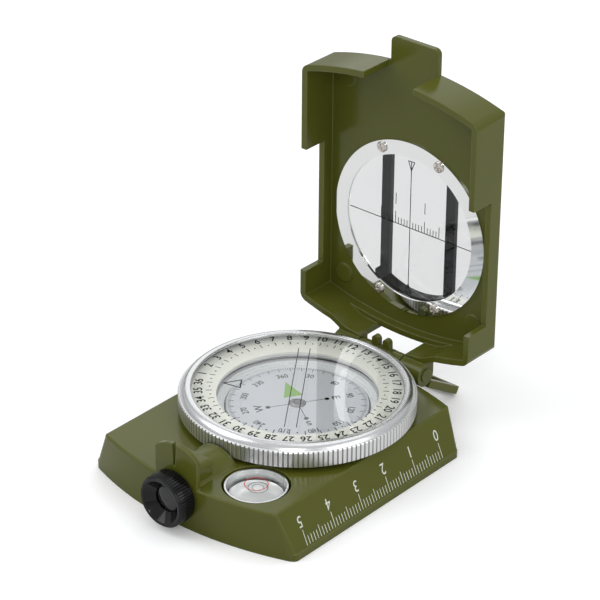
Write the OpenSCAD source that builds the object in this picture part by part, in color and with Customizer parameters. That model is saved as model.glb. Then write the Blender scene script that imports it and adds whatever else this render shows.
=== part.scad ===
// Sighting compass with a folding lid, shown open. Millimetres.
// The dial axis is +Z through the origin, the table is z = 0,
// the eyepiece points to -Y and the lid hinge lies along X at +Y.

/* [Base] */
// Width over the bottom lips
base_w = 62.9; // [60:0.1:70]
// Height of the deck above the table
base_h = 11.5; // [10.5:0.1:14]
// How far the bezel stands past each side of the deck
deck_inset = 2; // [1.5:0.1:2.5]
// Room for the sight and the level, from the bezel to the crown of the front wall
front_room = 14.5; // [14:0.1:17]
// From the bezel to the crown of the rear wall
rear_room = 0.6; // [0.5:0.05:0.8]
// Plan radius of the front and rear walls, as a share of the bezel diameter
end_arc_share = 1.498; // [1.3:0.001:2]
// Side and end wall thickness
wall_t = 1.8; // [1.4:0.1:2.2]
// Deck thickness
deck_t = 1.8; // [1.4:0.1:2.2]
// Height of the lip along each lower side
lip_h = 1.8; // [1.6:0.1:2.5]
// How far the lip stands out of the sloped side
lip_out = 0.35; // [0.1:0.05:0.8]
// Thickness of the bottom plate
plate_t = 1.4; // [1:0.1:1.5]
// Clearance between the bottom plate and the walls
plate_gap = 0.12; // [0.05:0.01:0.3]

/* [Bezel] */
// Outer diameter over the knurl
bezel_d = 57.4; // [56.6:0.1:57.8]
// Height of the knurled band
knurl_h = 4.3; // [4:0.1:4.6]
// Number of knurl grooves
knurl_count = 154; // [90:1:180]
// Depth of a knurl groove
knurl_depth = 0.35; // [0.2:0.05:0.5]
// Gap between the deck and the bezel
bezel_lift = 1.05; // [0.5:0.05:1.3]
// Width of the bright rim round the glass
rim_face_w = 3.15; // [3.05:0.05:3.4]
// Width of the bezel from its bore to its knurl
bezel_band_w = 4.7; // [4.6:0.05:4.9]
// Radial running fit of the bezel on its neck
bezel_fit = 0.08; // [0.04:0.01:0.1]

/* [Capsule] */
// Wall of the neck round the capsule pocket
neck_wall = 2.2; // [2:0.1:2.4]
// Depth of the pocket floor under the deck
pocket_drop = 5.8; // [5.5:0.1:5.9]
// Wall of the clear capsule cup
cup_wall = 2.1; // [1.9:0.05:2.4]
// Clearance of the capsule in its pocket
cup_gap = 0.1; // [0.05:0.01:0.2]
// Room round the card in its cup
card_side_gap = 2.4; // [1.9:0.05:3]
// Room between the card and the capsule cover
card_top_gap = 0.9; // [0.85:0.05:1]
// How far the luminous ring reaches over the cup
dial_overhang = 0.1; // [0:0.05:0.5]
// Thickness of the card disc
card_t = 0.5; // [0.4:0.05:0.6]

/* [Eyepiece] */
// Depth of the eyepiece axis under the deck
eye_drop = 3.3; // [3.1:0.05:3.35]
// Outer diameter of the knurled focus ring
focus_d = 13.1; // [12.6:0.1:13.4]
// Length of the focus ring
focus_l = 4.9; // [4.6:0.1:5.6]
// Number of grooves round the focus ring
focus_grooves = 60; // [30:1:72]
// Outer diameter of the lens tube
tube_d = 8; // [7.6:0.1:8.4]
// Wall of the lens tube
tube_wall = 0.7; // [0.6:0.05:0.9]
// Travel of the lens over one turn of the ring
focus_travel = 2; // [1:0.1:2]
// Radial running fit of the eyepiece parts
eye_fit = 0.06; // [0.04:0.01:0.1]

/* [Sight] */
// Width of the sight block
sight_w = 13; // [12:0.1:14]
// Depth of the sight block along the sight line
sight_depth = 7; // [5:0.1:7.4]
// Height of the crown above the deck
sight_h = 9.8; // [8:0.1:9.8]
// Crown radius of the sight plate
crown_r = 9.4; // [8:0.1:14]
// Height of the low body behind the sight plate
sight_body_h = 4.85; // [4:0.05:6]
// Width of the sighting notch at its foot
notch_w = 0.5; // [0.3:0.1:1.2]
// Radius of the cast casing over the lens tube
casing_r = 6.6; // [6.4:0.1:6.7]

/* [Level] */
// Distance of the level's centre from the crown of the front wall
level_setback = 11.4; // [11.2:0.1:11.8]
// Metal between the level and the casing over the lens tube
level_side_gap = 0.15; // [0.1:0.05:0.4]
// Bore for the level in the deck
level_bore_d = 16.1; // [15.6:0.1:16.3]
// Dark gap round the level cup
level_gap = 0.6; // [0.4:0.05:0.8]

/* [Hinge] */
// Distance of the hinge pin behind the bezel
hinge_room = 3.5; // [3.4:0.05:4]
// Height of the hinge pin above the deck
hinge_rise = 0.45; // [0.35:0.05:0.8]
// Diameter of the hinge barrels
barrel_d = 6; // [5.6:0.1:6.4]
// Diameter of the hinge pin
pin_d = 2.4; // [2:0.1:3]
// Radial running fit on the pin
pin_fit = 0.06; // [0.04:0.01:0.1]
// Half width of the base knuckle
knuckle_half = 3.3; // [3.1:0.1:3.4]
// Outer end of each loop eye
eye_end = 6.7; // [6.5:0.05:6.75]
// Inner end of each lid barrel
barrel_start = 7.1; // [7.05:0.05:7.3]
// Outer end of each lid barrel
barrel_end = 13.8; // [13:0.1:15]
// Opening angle of the lid as drawn
lid_open = 90; // [0:5:130]

/* [Lid] */
// How far each side of the lid stands in from the deck edge
lid_side_inset = 0.1; // [0:0.05:0.5]
// Length of the side openings that bare the bezel, as a share of the bezel diameter
grip_share = 0.5854; // [0.54:0.0001:0.68]
// Depth of the lid from rim to outer face
lid_depth = 11.3; // [11.3:0.1:13]
// Thickness of the lid plate
lid_plate_t = 1.4; // [1.3:0.05:1.4]
// Thickness of the lid walls
lid_wall_t = 1.6; // [1.4:0.1:1.8]
// Gap between the closed lid and the deck
lid_gap = 0.3; // [0.2:0.05:0.6]
// Reach of the thumb tab past the lid
tab_l = 6; // [4:0.1:8]
// Width of the thumb tab
tab_w = 14.2; // [12:0.1:16]
// Width of the opening between the hinge arms
arm_gap = 15; // [14.4:0.1:15.6]
// Thickness of the cranked hinge arms
arm_t = 1.6; // [1.3:0.1:2]

/* [Window] */
// Gap between the bright ring and the side walls of the lid
window_margin = 1.95; // [1.8:0.05:2.4]
// Width of the bright ring
window_face_w = 3.75; // [3.5:0.05:4.2]
// How far the ring laps over the glass
glass_lap = 1.1; // [0.9:0.05:1.2]
// Distance of the screws inside the edge of the ring
window_screw_inset = 1.65; // [1.5:0.05:1.8]
// Distance of each guard bar from the middle, as a share of the window radius
guard_share = 0.518; // [0.42:0.001:0.57]
// Thickness of the bright ring
window_ring_t = 0.5; // [0.4:0.1:0.7]
// Angle of each screw from the upright
screw_angle = 24; // [20:1:30]
// Width of a guard bar
guard_w = 2.8; // [1.6:0.1:3]

/* [Thumb loop] */
// Reach of the loop from the pin
loop_l = 18.1; // [15:0.1:18.1]
// Thickness of the loop
loop_t = 2; // [1.4:0.1:2]
// Width of the loop bars
loop_bar = 2.4; // [2:0.1:3.2]
// Offset of the loop plane under the pin axis
loop_drop = 1.85; // [1.7:0.05:1.85]
// Downward slope of the loop as drawn
loop_slope = 31; // [20:0.5:31]

/* [Tripod socket] */
// Radius of the socket bore
socket_r = 3.175; // [2.5:0.005:3.2]
// Depth of the socket
socket_l = 4.6; // [4:0.1:4.8]

/* [Hidden] */
$fn = 96;

// Overrun of every cut past the face that it opens
cut = 0.5;
// Small gap between pieces that stay still against each other
seat_gap = 0.05;
// Free gap between pieces that move past each other
free_gap = 0.3;

olive = [0.33, 0.35, 0.16];
bright = [0.82, 0.83, 0.84];
black = [0.06, 0.06, 0.065];
clear = [0.85, 0.92, 0.92, 0.35];

// Plan sizes worked out from the bezel
deck_w = bezel_d - 2*deck_inset;
front_reach = bezel_d/2 + front_room;
rear_reach = bezel_d/2 + rear_room;
end_arc_r = end_arc_share*bezel_d;
hinge_y = bezel_d/2 + hinge_room;
neck_d = bezel_d - 2*bezel_band_w;
pocket_d = neck_d - 2*neck_wall;
cup_bore_d = pocket_d - 2*(cup_gap + cup_wall);
card_d = cup_bore_d - 2*card_side_gap;
dial_bore_d = cup_bore_d - 2*dial_overhang;
glass_view_d = bezel_d - 2*rim_face_w;
lid_w = deck_w - 2*lid_side_inset;
grip_l = grip_share*bezel_d;
window_ring_d = lid_w - 2*(lid_wall_t + window_margin);
window_view_d = window_ring_d - 2*window_face_w;
window_glass_d = window_view_d + 2*glass_lap;
screw_circle_d = window_ring_d - 2*window_screw_inset;
guard_x = guard_share*window_view_d/2;
loop_w = 2*barrel_end;
level_x = casing_r + level_side_gap + level_bore_d/2;
level_y = front_reach - level_setback;
level_cup_d = level_bore_d - 2*level_gap;
eye_z = base_h - eye_drop;
pocket_floor_z = base_h - pocket_drop;

// Base levels and half widths
base_half = base_w/2;
deck_half = deck_w/2;
side_half = base_half - lip_out;
deck_under_z = base_h - deck_t;
base_edge_r = 0.6;

// Bezel levels
bezel_z0 = base_h + bezel_lift;
knurl_top_z = bezel_z0 + knurl_h;
bezel_bore_r = neck_d/2 + bezel_fit;
bezel_edge_ch = 0.25;
// The solid core under the knurl stands inside the groove bottoms
knurl_root = 0.12;
core_ch = 0.35;
seat_wall_t = 1.95;
seat_r = bezel_d/2 - knurl_depth - seat_wall_t;
ledge_h = 2.95;
ledge_z = bezel_z0 + ledge_h;
dial_ring_t = 0.55;
gasket_t = 0.3;
glass_t = 1.15;
dial_z = ledge_z + seat_gap;
gasket_z = dial_z + dial_ring_t + seat_gap;
glass_z = gasket_z + gasket_t + seat_gap;
glass_top_z = glass_z + glass_t;
rim_step_w = 0.65;
rim_ring_r = seat_r + rim_step_w;
rim_ring_t = 0.5;
rim_step_z = glass_top_z + seat_gap;
rim_top_z = rim_step_z + rim_ring_t;

// Neck and capsule levels
ring_t = 0.5;
neck_top_z = ledge_z - ring_t - 2*seat_gap;
wire_r = 0.4;
wire_rise = 0.9;
wire_z = bezel_z0 + wire_rise;
wire_gap_angle = 12;
cup_r = pocket_d/2 - cup_gap;
cup_floor_t = 1.2;
pocket_ledge_t = 1.1;
pocket_ledge_w = 2.2;
cup_z = pocket_floor_z + pocket_ledge_t;
cover_t = 0.9;
cover_z = neck_top_z - cover_t;
card_z = cover_z - card_top_gap;
seal_r = 0.35;
seal_circle_r = (cup_r + cup_bore_d/2)/2;
ring_skirt_h = 0.5;
ring_skirt_t = 0.45;
ring_skirt_gap = 0.06;
ring_lip = 1.9;

// Card, magnets and pivot
card_hub_r = 1.9;
card_skirt_h = 3;
card_skirt_t = 0.45;
magnet_l = 22;
magnet_w = 3;
magnet_t = 1;
magnet_x = 4.4;
pivot_r = 0.9;
pivot_base_r = 2.2;
pivot_base_h = 0.9;
pivot_tip_r = 0.12;
cap_rise = 0.45;
cap_wall = 0.5;
cap_foot = 0.7;
jewel_r = 0.75;
jewel_t = 0.45;
pivot_gap = 0.04;

// Tube, spigot and focus ring
front_y = -front_reach;
tube_r = tube_d/2;
tube_bore_r = tube_r - tube_wall;
spigot_wall = 1.2;
spigot_r = tube_r + spigot_wall;
spigot_hold = 0.6;
spigot_l = focus_travel + spigot_hold;
ring_rear_y = front_y - free_gap;
ring_front_y = ring_rear_y - focus_l;
focus_r = focus_d/2;
focus_groove_depth = 0.25;
focus_rim_w = 1.25;
focus_mouth_r = focus_r - focus_rim_w;
focus_end_gap = 0.2;
focus_web_t = 0.4;
lens_r = 3.2;
lens_edge_t = 0.5;
lens_bulge = 0.25;
lens_lip = 0.15;
lens_mouth_r = lens_r - lens_lip;
cell_front_y = front_y - spigot_l - focus_end_gap - focus_web_t;
cell_l = 9.6;
cell_rear_y = cell_front_y + cell_l;
key_w = 1;
key_out = 0.5;
retainer_t = 0.8;
window_pane_t = 1.1;

// Sight block and ears
crown_z = base_h + sight_h;
// The plate stands just inside the front wall's rounded edge
sight_inset = 0.1;
sight_body_w = 10.6;
sight_face_t = 1.35;
sight_corner_r = 0.9;
sight_shoulder_r = 1.4;
body_top_z = base_h + sight_body_h;
notch_foot_h = 4.05;
notch_z = base_h + notch_foot_h;
notch_flare = 0.8;
notch_x = -0.3;
notch_top_w = notch_w + notch_flare;
ear_w = 2.1;
ear_x = 1.7;
ear_t = 1.5;
ear_h = 6.2;
ear_top_z = base_h + ear_h;

// Hinge
hinge_z = base_h + hinge_rise;
barrel_r = barrel_d/2;
pin_r = pin_d/2;
pin_bore_r = pin_r + pin_fit;
pin_head_lip = 0.5;
pin_head_r = pin_r + pin_head_lip;
pin_head_t = 0.3;
barrel_relief_r = barrel_r + free_gap;
washer_t = 0.2;
washer_inset = 0.5;
washer_r = barrel_r - washer_inset;
eye_gap = 0.15;
eye_start = knuckle_half + eye_gap;

// Level
level_depth = 7;
level_floor_z = base_h - level_depth;
level_floor_t = 1.1;
level_wall_t = 1.2;
level_cup_wall = 0.45;
level_cup_drop = 0.3;
level_cup_top_z = base_h - level_cup_drop;
level_vial_r = level_cup_d/2 - level_cup_wall - seat_gap;
level_vial_wall = 0.8;
level_dome_r = 40;

// Screws through the bottom plate
screw_inset = 6.85;
screw_x = base_half - screw_inset;
screw_front_y = -20;
screw_rear_y = 17;
boss_r = 2.4;
screw_bore_r = 0.8;
screw_head_r = 1.8;
screw_head_t = 0.8;
screw_l = 5.5;

// Tripod bush
bush_r = 5;
bush_flange_r = 6.2;
bush_flange_t = 0.9;
bush_cap_t = 0.4;

// Lid, drawn closed and then swung open about the pin
lid_half = lid_w/2;
lid_rim_z = base_h + lid_gap;
lid_top_z = lid_rim_z + lid_depth;
lid_in_z = lid_top_z - lid_plate_t;
grip_h = 6.8;
grip_top_z = lid_rim_z + grip_h;
arm_gap_h = 7.4;
arm_top_z = lid_rim_z + arm_gap_h;
lid_rear_inset = 0.35;
lid_rear = rear_reach - lid_rear_inset;
// Where the cranked arms leave the rear wall and where they reach full depth
arm_crank = 1.4;
arm_root_w = 3.6;
arm_root_x = barrel_end + arm_root_w;
arm_flank_w = 2.6;
arm_foot_x = barrel_end - arm_flank_w;
arm_facets = 10;
// Each arm starts a little inside the rear wall, so that their faces cross cleanly
arm_sink = 0.2;
arm_in_y = lid_rear + arm_crank - arm_t;
sight_side_gap = 1;
sight_gap_half = sight_w/2 + sight_side_gap;
tab_corner_r = 1.5;
web_top_z = hinge_z + barrel_r;
boss_in_r = 2.5;
boss_in_h = 0.35;
boss_side_inset = 6.2;
boss_front_inset = 8.5;
boss_rear_inset = 9.9;
boss_in_x = lid_half - boss_side_inset;
boss_front_y = boss_front_inset - front_reach;
boss_rear_y = rear_reach - boss_rear_inset;
relief_r = bezel_d/2 + free_gap;
lid_edge_r = 1;
relief_top_z = rim_top_z + free_gap;

// Window parts
window_gap = 0.2;
window_bore_r = window_glass_d/2 + window_gap;
window_glass_t = 1;
window_glass_z = lid_in_z + seat_gap;
frame_flange_r = window_ring_d/2;
frame_flange_t = 1.3;
frame_wall_t = 1.2;
frame_wall_r = window_view_d/2 + frame_wall_t;
frame_h = 2.9;
guard_half = guard_x + guard_w/2;
frame_z = lid_top_z;
guard_t = 1.25;
window_gasket_z = window_glass_z + window_glass_t + seat_gap;
window_gasket_t = lid_top_z - seat_gap - window_gasket_z;
window_screw_r = 0.6;
window_head_r = 1.4;
window_head_t = 0.5;
window_screw_l = 3.4;

loop_corner_r = 1.8;

// Outline of the base and lid seen from above, inset by its own amount
module plan(half_w, inset = 0, rear = rear_reach) {
  intersection() {
    translate([0, end_arc_r - front_reach]) circle(end_arc_r - inset, $fn = 240);
    translate([0, rear - end_arc_r]) circle(end_arc_r - inset, $fn = 240);
    translate([-half_w, -front_reach]) square([2*half_w, front_reach + rear]);
  }
}

// Cross-section of the base in X and Z, set in from the outside
module side_section(inset, z0, z1) {
  top_half = side_half - (side_half - deck_half)*(z1 - lip_h)/(base_h - lip_h);
  polygon([
    [-(base_half - inset), z0], [base_half - inset, z0],
    [base_half - inset, lip_h], [side_half - inset, lip_h],
    [top_half - inset, z1], [-(top_half - inset), z1],
    [-(side_half - inset), lip_h], [-(base_half - inset), lip_h]
  ]);
}

// The outside of the same section with its deck edges rounded
module outer_section() {
  lean = atan((side_half - deck_half)/(base_h - lip_h));
  back_off = base_edge_r/tan(45 + lean/2);
  foot_x = deck_half + back_off*sin(lean);
  foot_z = base_h - back_off*cos(lean);
  polygon([
    [-base_half, 0], [base_half, 0], [base_half, lip_h], [side_half, lip_h],
    [foot_x, foot_z], [deck_half - back_off, base_h],
    [back_off - deck_half, base_h], [-foot_x, foot_z],
    [-side_half, lip_h], [-base_half, lip_h]
  ]);
  for (s = [-1, 1]) translate([s*(deck_half - back_off), base_h - base_edge_r])
    circle(base_edge_r);
}

// A disc whose upper edge is rounded, about the centre of an end arc
module eased_disc(y, z0, z1, ease) {
  translate([0, y, 0]) rotate_extrude($fn = 240) {
    translate([0, z0]) square([end_arc_r, z1 - z0 - ease]);
    translate([0, z0]) square([end_arc_r - ease, z1 - z0]);
    translate([end_arc_r - ease, z1 - ease]) circle(ease, $fn = 48);
  }
}

// A section in X and Z run between the two end arcs, its upper edges rounded
module eased_body(rear, z0, z1, ease) {
  intersection() {
    eased_disc(end_arc_r - front_reach, z0, z1, ease);
    eased_disc(rear - end_arc_r, z0, z1, ease);
    along_y(-front_reach - cut, rear + cut) children();
  }
}

// A shape drawn in X and Z, run along Y from y0 to y1
module along_y(y0, y1) {
  translate([0, y1, 0]) rotate([90, 0, 0]) linear_extrude(y1 - y0) children();
}

// A round bar along X
module bar_x(r, x0, x1) {
  translate([x0, 0, 0]) rotate([0, 90, 0]) cylinder(r = r, h = x1 - x0);
}

// A round bar along Y at the height of the eyepiece axis
module bar_y(r, y0, y1) {
  translate([0, y1, eye_z]) rotate([90, 0, 0]) cylinder(r = r, h = y1 - y0);
}

module at_pin() {
  translate([0, hinge_y, hinge_z]) children();
}

module both_sides() {
  children();
  mirror([1, 0, 0]) children();
}

// A flat ring or washer
module ring(r_out, r_in, z0, h) {
  translate([0, 0, z0]) difference() {
    cylinder(r = r_out, h = h);
    translate([0, 0, -cut]) cylinder(r = r_in, h = h + 2*cut);
  }
}

// Places of the screws through the bottom plate
function bottom_places() = [for (s = [-1, 1], y = [screw_front_y, screw_rear_y]) [s*screw_x, y]];

// Outline of a wheel with V grooves
function grooved(r, depth, n) = [
  for (i = [0 : 2*n - 1])
    let (a = 180*i/n, q = r - depth*(i % 2))
      [q*cos(a), q*sin(a)]
];

module base_body(inset, z0, z1) {
  intersection() {
    along_y(-front_reach, rear_reach) side_section(inset, z0, z1);
    translate([0, 0, z0 - cut]) linear_extrude(z1 - z0 + 2*cut) plan(base_half, inset);
  }
}

// Crowned front plate of the sight with rounded corners
module sight_plate() {
  mid_z = crown_z - crown_r;
  corner_x = sight_w/2 - sight_corner_r;
  corner_d = crown_r - sight_corner_r;
  corner_z = mid_z + sqrt(corner_d*corner_d - corner_x*corner_x);
  meet_x = corner_x*crown_r/corner_d;
  intersection() {
    translate([0, mid_z]) circle(crown_r);
    translate([-meet_x, deck_under_z]) square([2*meet_x, crown_z - deck_under_z]);
  }
  translate([-sight_w/2, deck_under_z]) square([sight_w, corner_z - deck_under_z]);
  for (s = [-1, 1]) translate([s*corner_x, corner_z]) circle(sight_corner_r);
}

// Low body behind the plate, with rounded shoulders
module sight_body() {
  half = sight_body_w/2;
  low_z = body_top_z - sight_shoulder_r;
  translate([-half, deck_under_z]) square([2*half, low_z - deck_under_z]);
  translate([sight_shoulder_r - half, deck_under_z])
    square([2*(half - sight_shoulder_r), body_top_z - deck_under_z]);
  for (s = [-1, 1]) translate([s*(half - sight_shoulder_r), low_z]) circle(sight_shoulder_r);
}

module sight_block() {
  intersection() {
    union() {
      along_y(front_y, front_y + sight_face_t) sight_plate();
      along_y(front_y + sight_face_t/2, front_y + sight_depth) sight_body();
    }
    linear_extrude(crown_z + cut) plan(base_half, sight_inset);
  }
}

module sight_notch() {
  along_y(front_y - cut, front_y + sight_face_t + cut) translate([notch_x, 0]) polygon([
    [-notch_w/2, notch_z], [notch_w/2, notch_z],
    [notch_top_w/2, crown_z + cut], [-notch_top_w/2, crown_z + cut]
  ]);
}

// Two rounded ears with the rear sighting slot between them
module ears() {
  both_sides() along_y(hinge_y - ear_t/2, hinge_y + ear_t/2) translate([ear_x, 0]) {
    translate([0, ear_top_z - ear_w/2]) circle(ear_w/2);
    translate([-ear_w/2, hinge_z]) square([ear_w, ear_top_z - ear_w/2 - hinge_z]);
  }
}

module base_housing() color(olive) {
  difference() {
    union() {
      difference() {
        eased_body(rear_reach, 0, base_h, base_edge_r) outer_section();
        base_body(wall_t, -cut, deck_under_z);
      }
      // Pocket and neck round the capsule
      intersection() {
        translate([0, 0, pocket_floor_z]) cylinder(r = neck_d/2, h = neck_top_z - pocket_floor_z);
        translate([0, 0, pocket_floor_z]) linear_extrude(neck_top_z) plan(base_half);
      }
      // Casing over the lens tube, from the front wall to the pocket
      difference() {
        bar_y(casing_r, front_y + wall_t, -pocket_d/2);
        translate([0, 0, base_h]) cylinder(r = relief_r, h = base_h);
      }
      bar_y(spigot_r, front_y - spigot_l, front_y + wall_t);
      sight_block();
      // Well of the level
      translate([level_x, -level_y, level_floor_z - level_floor_t])
        cylinder(r = level_bore_d/2 + level_wall_t, h = deck_under_z - level_floor_z + level_floor_t);
      // Screw pillars
      for (p = bottom_places()) translate([p.x, p.y, plate_t])
        cylinder(r = boss_r, h = deck_under_z - plate_t + deck_t/2);
      // Knuckle, its root and the ears
      at_pin() bar_x(barrel_r, -knuckle_half, knuckle_half);
      translate([-knuckle_half, rear_reach - 2*wall_t, hinge_z - barrel_r])
        cube([2*knuckle_half, hinge_y - rear_reach + 2*wall_t, base_h - hinge_z + barrel_r]);
      ears();
    }
    // Keep the screw pillars inside the sloped sides
    both_sides() along_y(-front_reach, rear_reach) polygon([
      [side_half, lip_h], [base_half + boss_r, lip_h],
      [base_half + boss_r, base_h + cut], [deck_half, base_h + cut], [deck_half, base_h]
    ]);
    translate([0, 0, cup_z]) cylinder(r = pocket_d/2, h = base_h + neck_top_z);
    translate([0, 0, pocket_floor_z - cut]) cylinder(r = pocket_d/2 - pocket_ledge_w, h = base_h);
    // Groove for the bezel spring
    ring(neck_d/2 + cut, neck_d/2 - wire_r - seat_gap, wire_z - wire_r - seat_gap, 2*(wire_r + seat_gap));
    bar_y(tube_r + eye_fit, front_y - spigot_l - cut, -pocket_d/2 + cut);
    // Keyway that stops the lens tube from turning
    translate([-(key_w/2 + eye_fit), front_y - spigot_l - cut, eye_z - tube_r - key_out - eye_fit])
      cube([key_w + 2*eye_fit, spigot_l + sight_depth + wall_t + 2*cut, tube_r]);
    translate([level_x, -level_y, level_floor_z])
      cylinder(r = level_bore_d/2, h = base_h);
    sight_notch();
    for (p = bottom_places()) translate([p.x, p.y, plate_t - cut])
      cylinder(r = screw_bore_r, h = screw_l + cut);
    at_pin() bar_x(pin_r + seat_gap, -knuckle_half - cut, knuckle_half + cut);
    both_sides() at_pin() bar_x(barrel_relief_r, knuckle_half, barrel_end + free_gap);
  }
}

module bottom_plate() color(olive) {
  difference() {
    linear_extrude(plate_t) plan(base_half - wall_t - plate_gap, wall_t + plate_gap);
    translate([0, 0, -cut]) cylinder(r = bush_r + seat_gap, h = plate_t + 2*cut);
    for (p = bottom_places()) translate([p.x, p.y, 0]) {
      translate([0, 0, -cut]) cylinder(r = screw_bore_r + seat_gap, h = plate_t + 2*cut);
      translate([0, 0, -cut]) cylinder(r = screw_head_r + seat_gap, h = screw_head_t + cut);
    }
  }
}

module bottom_screws() color(bright) {
  for (p = bottom_places()) translate([p.x, p.y, 0]) {
    translate([0, 0, seat_gap]) cylinder(r = screw_head_r, h = screw_head_t - seat_gap);
    translate([0, 0, screw_head_t - cut]) cylinder(r = screw_bore_r - seat_gap, h = screw_l);
  }
}

module tripod_bush() color("goldenrod") {
  difference() {
    union() {
      cylinder(r = bush_r, h = socket_l + bush_cap_t);
      translate([0, 0, plate_t + seat_gap]) cylinder(r = bush_flange_r, h = bush_flange_t);
    }
    translate([0, 0, -cut]) cylinder(r = socket_r, h = socket_l + cut);
  }
}

// Clear cup that holds the liquid and the card
module capsule_cup() color(clear) {
  difference() {
    translate([0, 0, cup_z]) cylinder(r = cup_r, h = cover_z - seat_gap - cup_z);
    translate([0, 0, cup_z + cup_floor_t]) cylinder(r = cup_bore_d/2, h = base_h);
    // Groove for the seal
    ring(seal_circle_r + seal_r + seat_gap, seal_circle_r - seal_r - seat_gap,
      cover_z - seat_gap - 2*seal_r, 2*seal_r + cut);
    translate([0, 0, cup_z - cut]) cylinder(r = pivot_r + seat_gap, h = cup_floor_t + 2*cut);
  }
}

module pivot_post() color("silver") {
  tip_z = card_z + cap_rise - cap_wall - jewel_t - pivot_gap;
  floor_z = cup_z + cup_floor_t;
  shank_h = (tip_z - floor_z)/2;
  translate([0, 0, cup_z]) cylinder(r = pivot_r, h = floor_z - cup_z + shank_h);
  translate([0, 0, floor_z + seat_gap]) cylinder(r = pivot_base_r, h = pivot_base_h);
  translate([0, 0, floor_z + shank_h])
    cylinder(r1 = pivot_r, r2 = pivot_tip_r, h = tip_z - floor_z - shank_h);
}

module capsule_seal() color(black) {
  translate([0, 0, cover_z - seat_gap - seal_r])
    rotate_extrude() translate([seal_circle_r, 0]) circle(seal_r, $fn = 32);
}

module capsule_cover() color(clear) {
  translate([0, 0, cover_z]) cylinder(r = cup_r - ring_skirt_t, h = cover_t - seat_gap);
}

module capsule_ring() color(bright) {
  ring(neck_d/2 - seat_gap, cup_bore_d/2 + ring_skirt_gap, neck_top_z, ring_t);
  ring(pocket_d/2 - ring_skirt_gap, cup_r - ring_skirt_t + ring_skirt_gap/2,
    neck_top_z - ring_skirt_h, ring_skirt_h + seat_gap);
}

module bezel_spring() color("silver") {
  translate([0, 0, wire_z]) rotate([0, 0, 90 + wire_gap_angle/2])
    rotate_extrude(angle = 360 - wire_gap_angle) translate([neck_d/2, 0]) circle(wire_r, $fn = 24);
}

module level_cup() color(bright) {
  z0 = level_floor_z + seat_gap;
  translate([level_x, -level_y, 0]) difference() {
    translate([0, 0, z0]) cylinder(r = level_cup_d/2, h = level_cup_top_z - z0);
    translate([0, 0, z0 + level_cup_wall]) cylinder(r = level_cup_d/2 - level_cup_wall, h = base_h);
  }
}

// Clear vial with a hollow for the liquid under a slightly domed lid
module level_vial() color(clear) {
  z0 = level_floor_z + level_cup_wall + 2*seat_gap;
  top_z = base_h + seat_gap;
  translate([level_x, -level_y, 0]) difference() {
    translate([0, 0, z0]) cylinder(r = level_vial_r, h = top_z - z0);
    intersection() {
      translate([0, 0, z0 + level_vial_wall])
        cylinder(r = level_vial_r - level_vial_wall, h = top_z - z0 - 2*level_vial_wall);
      translate([0, 0, top_z - level_vial_wall - level_dome_r]) sphere(level_dome_r, $fn = 128);
    }
  }
}

// Small clear pane where the eyepiece looks into the capsule pocket
module reading_window() color(clear) {
  bar_y(tube_r - seat_gap, -(pocket_d/2 + window_pane_t + free_gap), -(pocket_d/2 + free_gap));
}

module hinge_pin() color(olive) {
  reach = barrel_end + seat_gap;
  at_pin() {
    bar_x(pin_r, -reach, reach);
    both_sides() bar_x(pin_head_r, reach, reach + pin_head_t);
  }
}

module hinge_washers() color(black) {
  mid = (eye_end + barrel_start)/2;
  both_sides() at_pin() difference() {
    bar_x(washer_r, mid - washer_t/2, mid + washer_t/2);
    bar_x(pin_bore_r, mid - washer_t/2 - cut, mid + washer_t/2 + cut);
  }
}

// Card with a short skirt whose edge scale faces the eyepiece
module compass_card() color([0.75, 0.76, 0.78]) {
  ring(card_d/2, card_hub_r + seat_gap, card_z - card_t, card_t);
  ring(card_d/2, card_d/2 - card_skirt_t, card_z - card_skirt_h, card_skirt_h - card_t/2);
}

module card_magnets() color("dimgray") {
  for (s = [-1, 1])
    translate([s*magnet_x - magnet_w/2, -magnet_l/2, card_z - card_t - seat_gap - magnet_t])
      cube([magnet_w, magnet_l, magnet_t]);
}

module jewel_cap() color("silver") {
  z0 = card_z - card_t - cap_foot;
  top_z = card_z + cap_rise;
  difference() {
    union() {
      translate([0, 0, z0]) cylinder(r = card_hub_r, h = card_z - z0);
      translate([0, 0, card_z]) cylinder(r1 = card_hub_r, r2 = jewel_r + cap_wall, h = cap_rise);
    }
    translate([0, 0, z0 - cut]) cylinder(r = jewel_r + seat_gap, h = top_z - cap_wall - z0 + cut);
  }
}

module pivot_jewel() color("crimson") {
  z0 = card_z + cap_rise - cap_wall - jewel_t;
  translate([0, 0, z0]) cylinder(r = jewel_r, h = jewel_t - seat_gap/2);
}

// Knurled bezel that turns on the neck and holds the glass
module bezel_ring() color(bright) {
  rim_r = rim_ring_r + seat_gap;
  core_r = bezel_d/2 - knurl_depth - knurl_root;
  difference() {
    union() {
      translate([0, 0, bezel_z0 + bezel_edge_ch]) linear_extrude(knurl_h - 2*bezel_edge_ch)
        polygon(grooved(bezel_d/2, knurl_depth, knurl_count));
      rotate_extrude() polygon([
        [0, bezel_z0], [core_r - core_ch, bezel_z0], [core_r, bezel_z0 + core_ch],
        [core_r, knurl_top_z - core_ch], [core_r - core_ch, knurl_top_z],
        [rim_r + bezel_edge_ch, rim_top_z - bezel_edge_ch/2], [0, rim_top_z - bezel_edge_ch/2]
      ]);
    }
    translate([0, 0, bezel_z0 - cut]) cylinder(r = bezel_bore_r, h = knurl_h);
    translate([0, 0, ledge_z]) cylinder(r = seat_r, h = base_h);
    translate([0, 0, rim_step_z]) cylinder(r = rim_r, h = base_h);
    ring(bezel_bore_r + wire_r + seat_gap, bezel_bore_r - cut,
      wire_z - wire_r - 2*seat_gap, 2*wire_r + 4*seat_gap);
  }
}

module dial_ring() color([0.85, 0.86, 0.78]) {
  ring(seat_r - seat_gap, dial_bore_d/2, dial_z, dial_ring_t);
}

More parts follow.
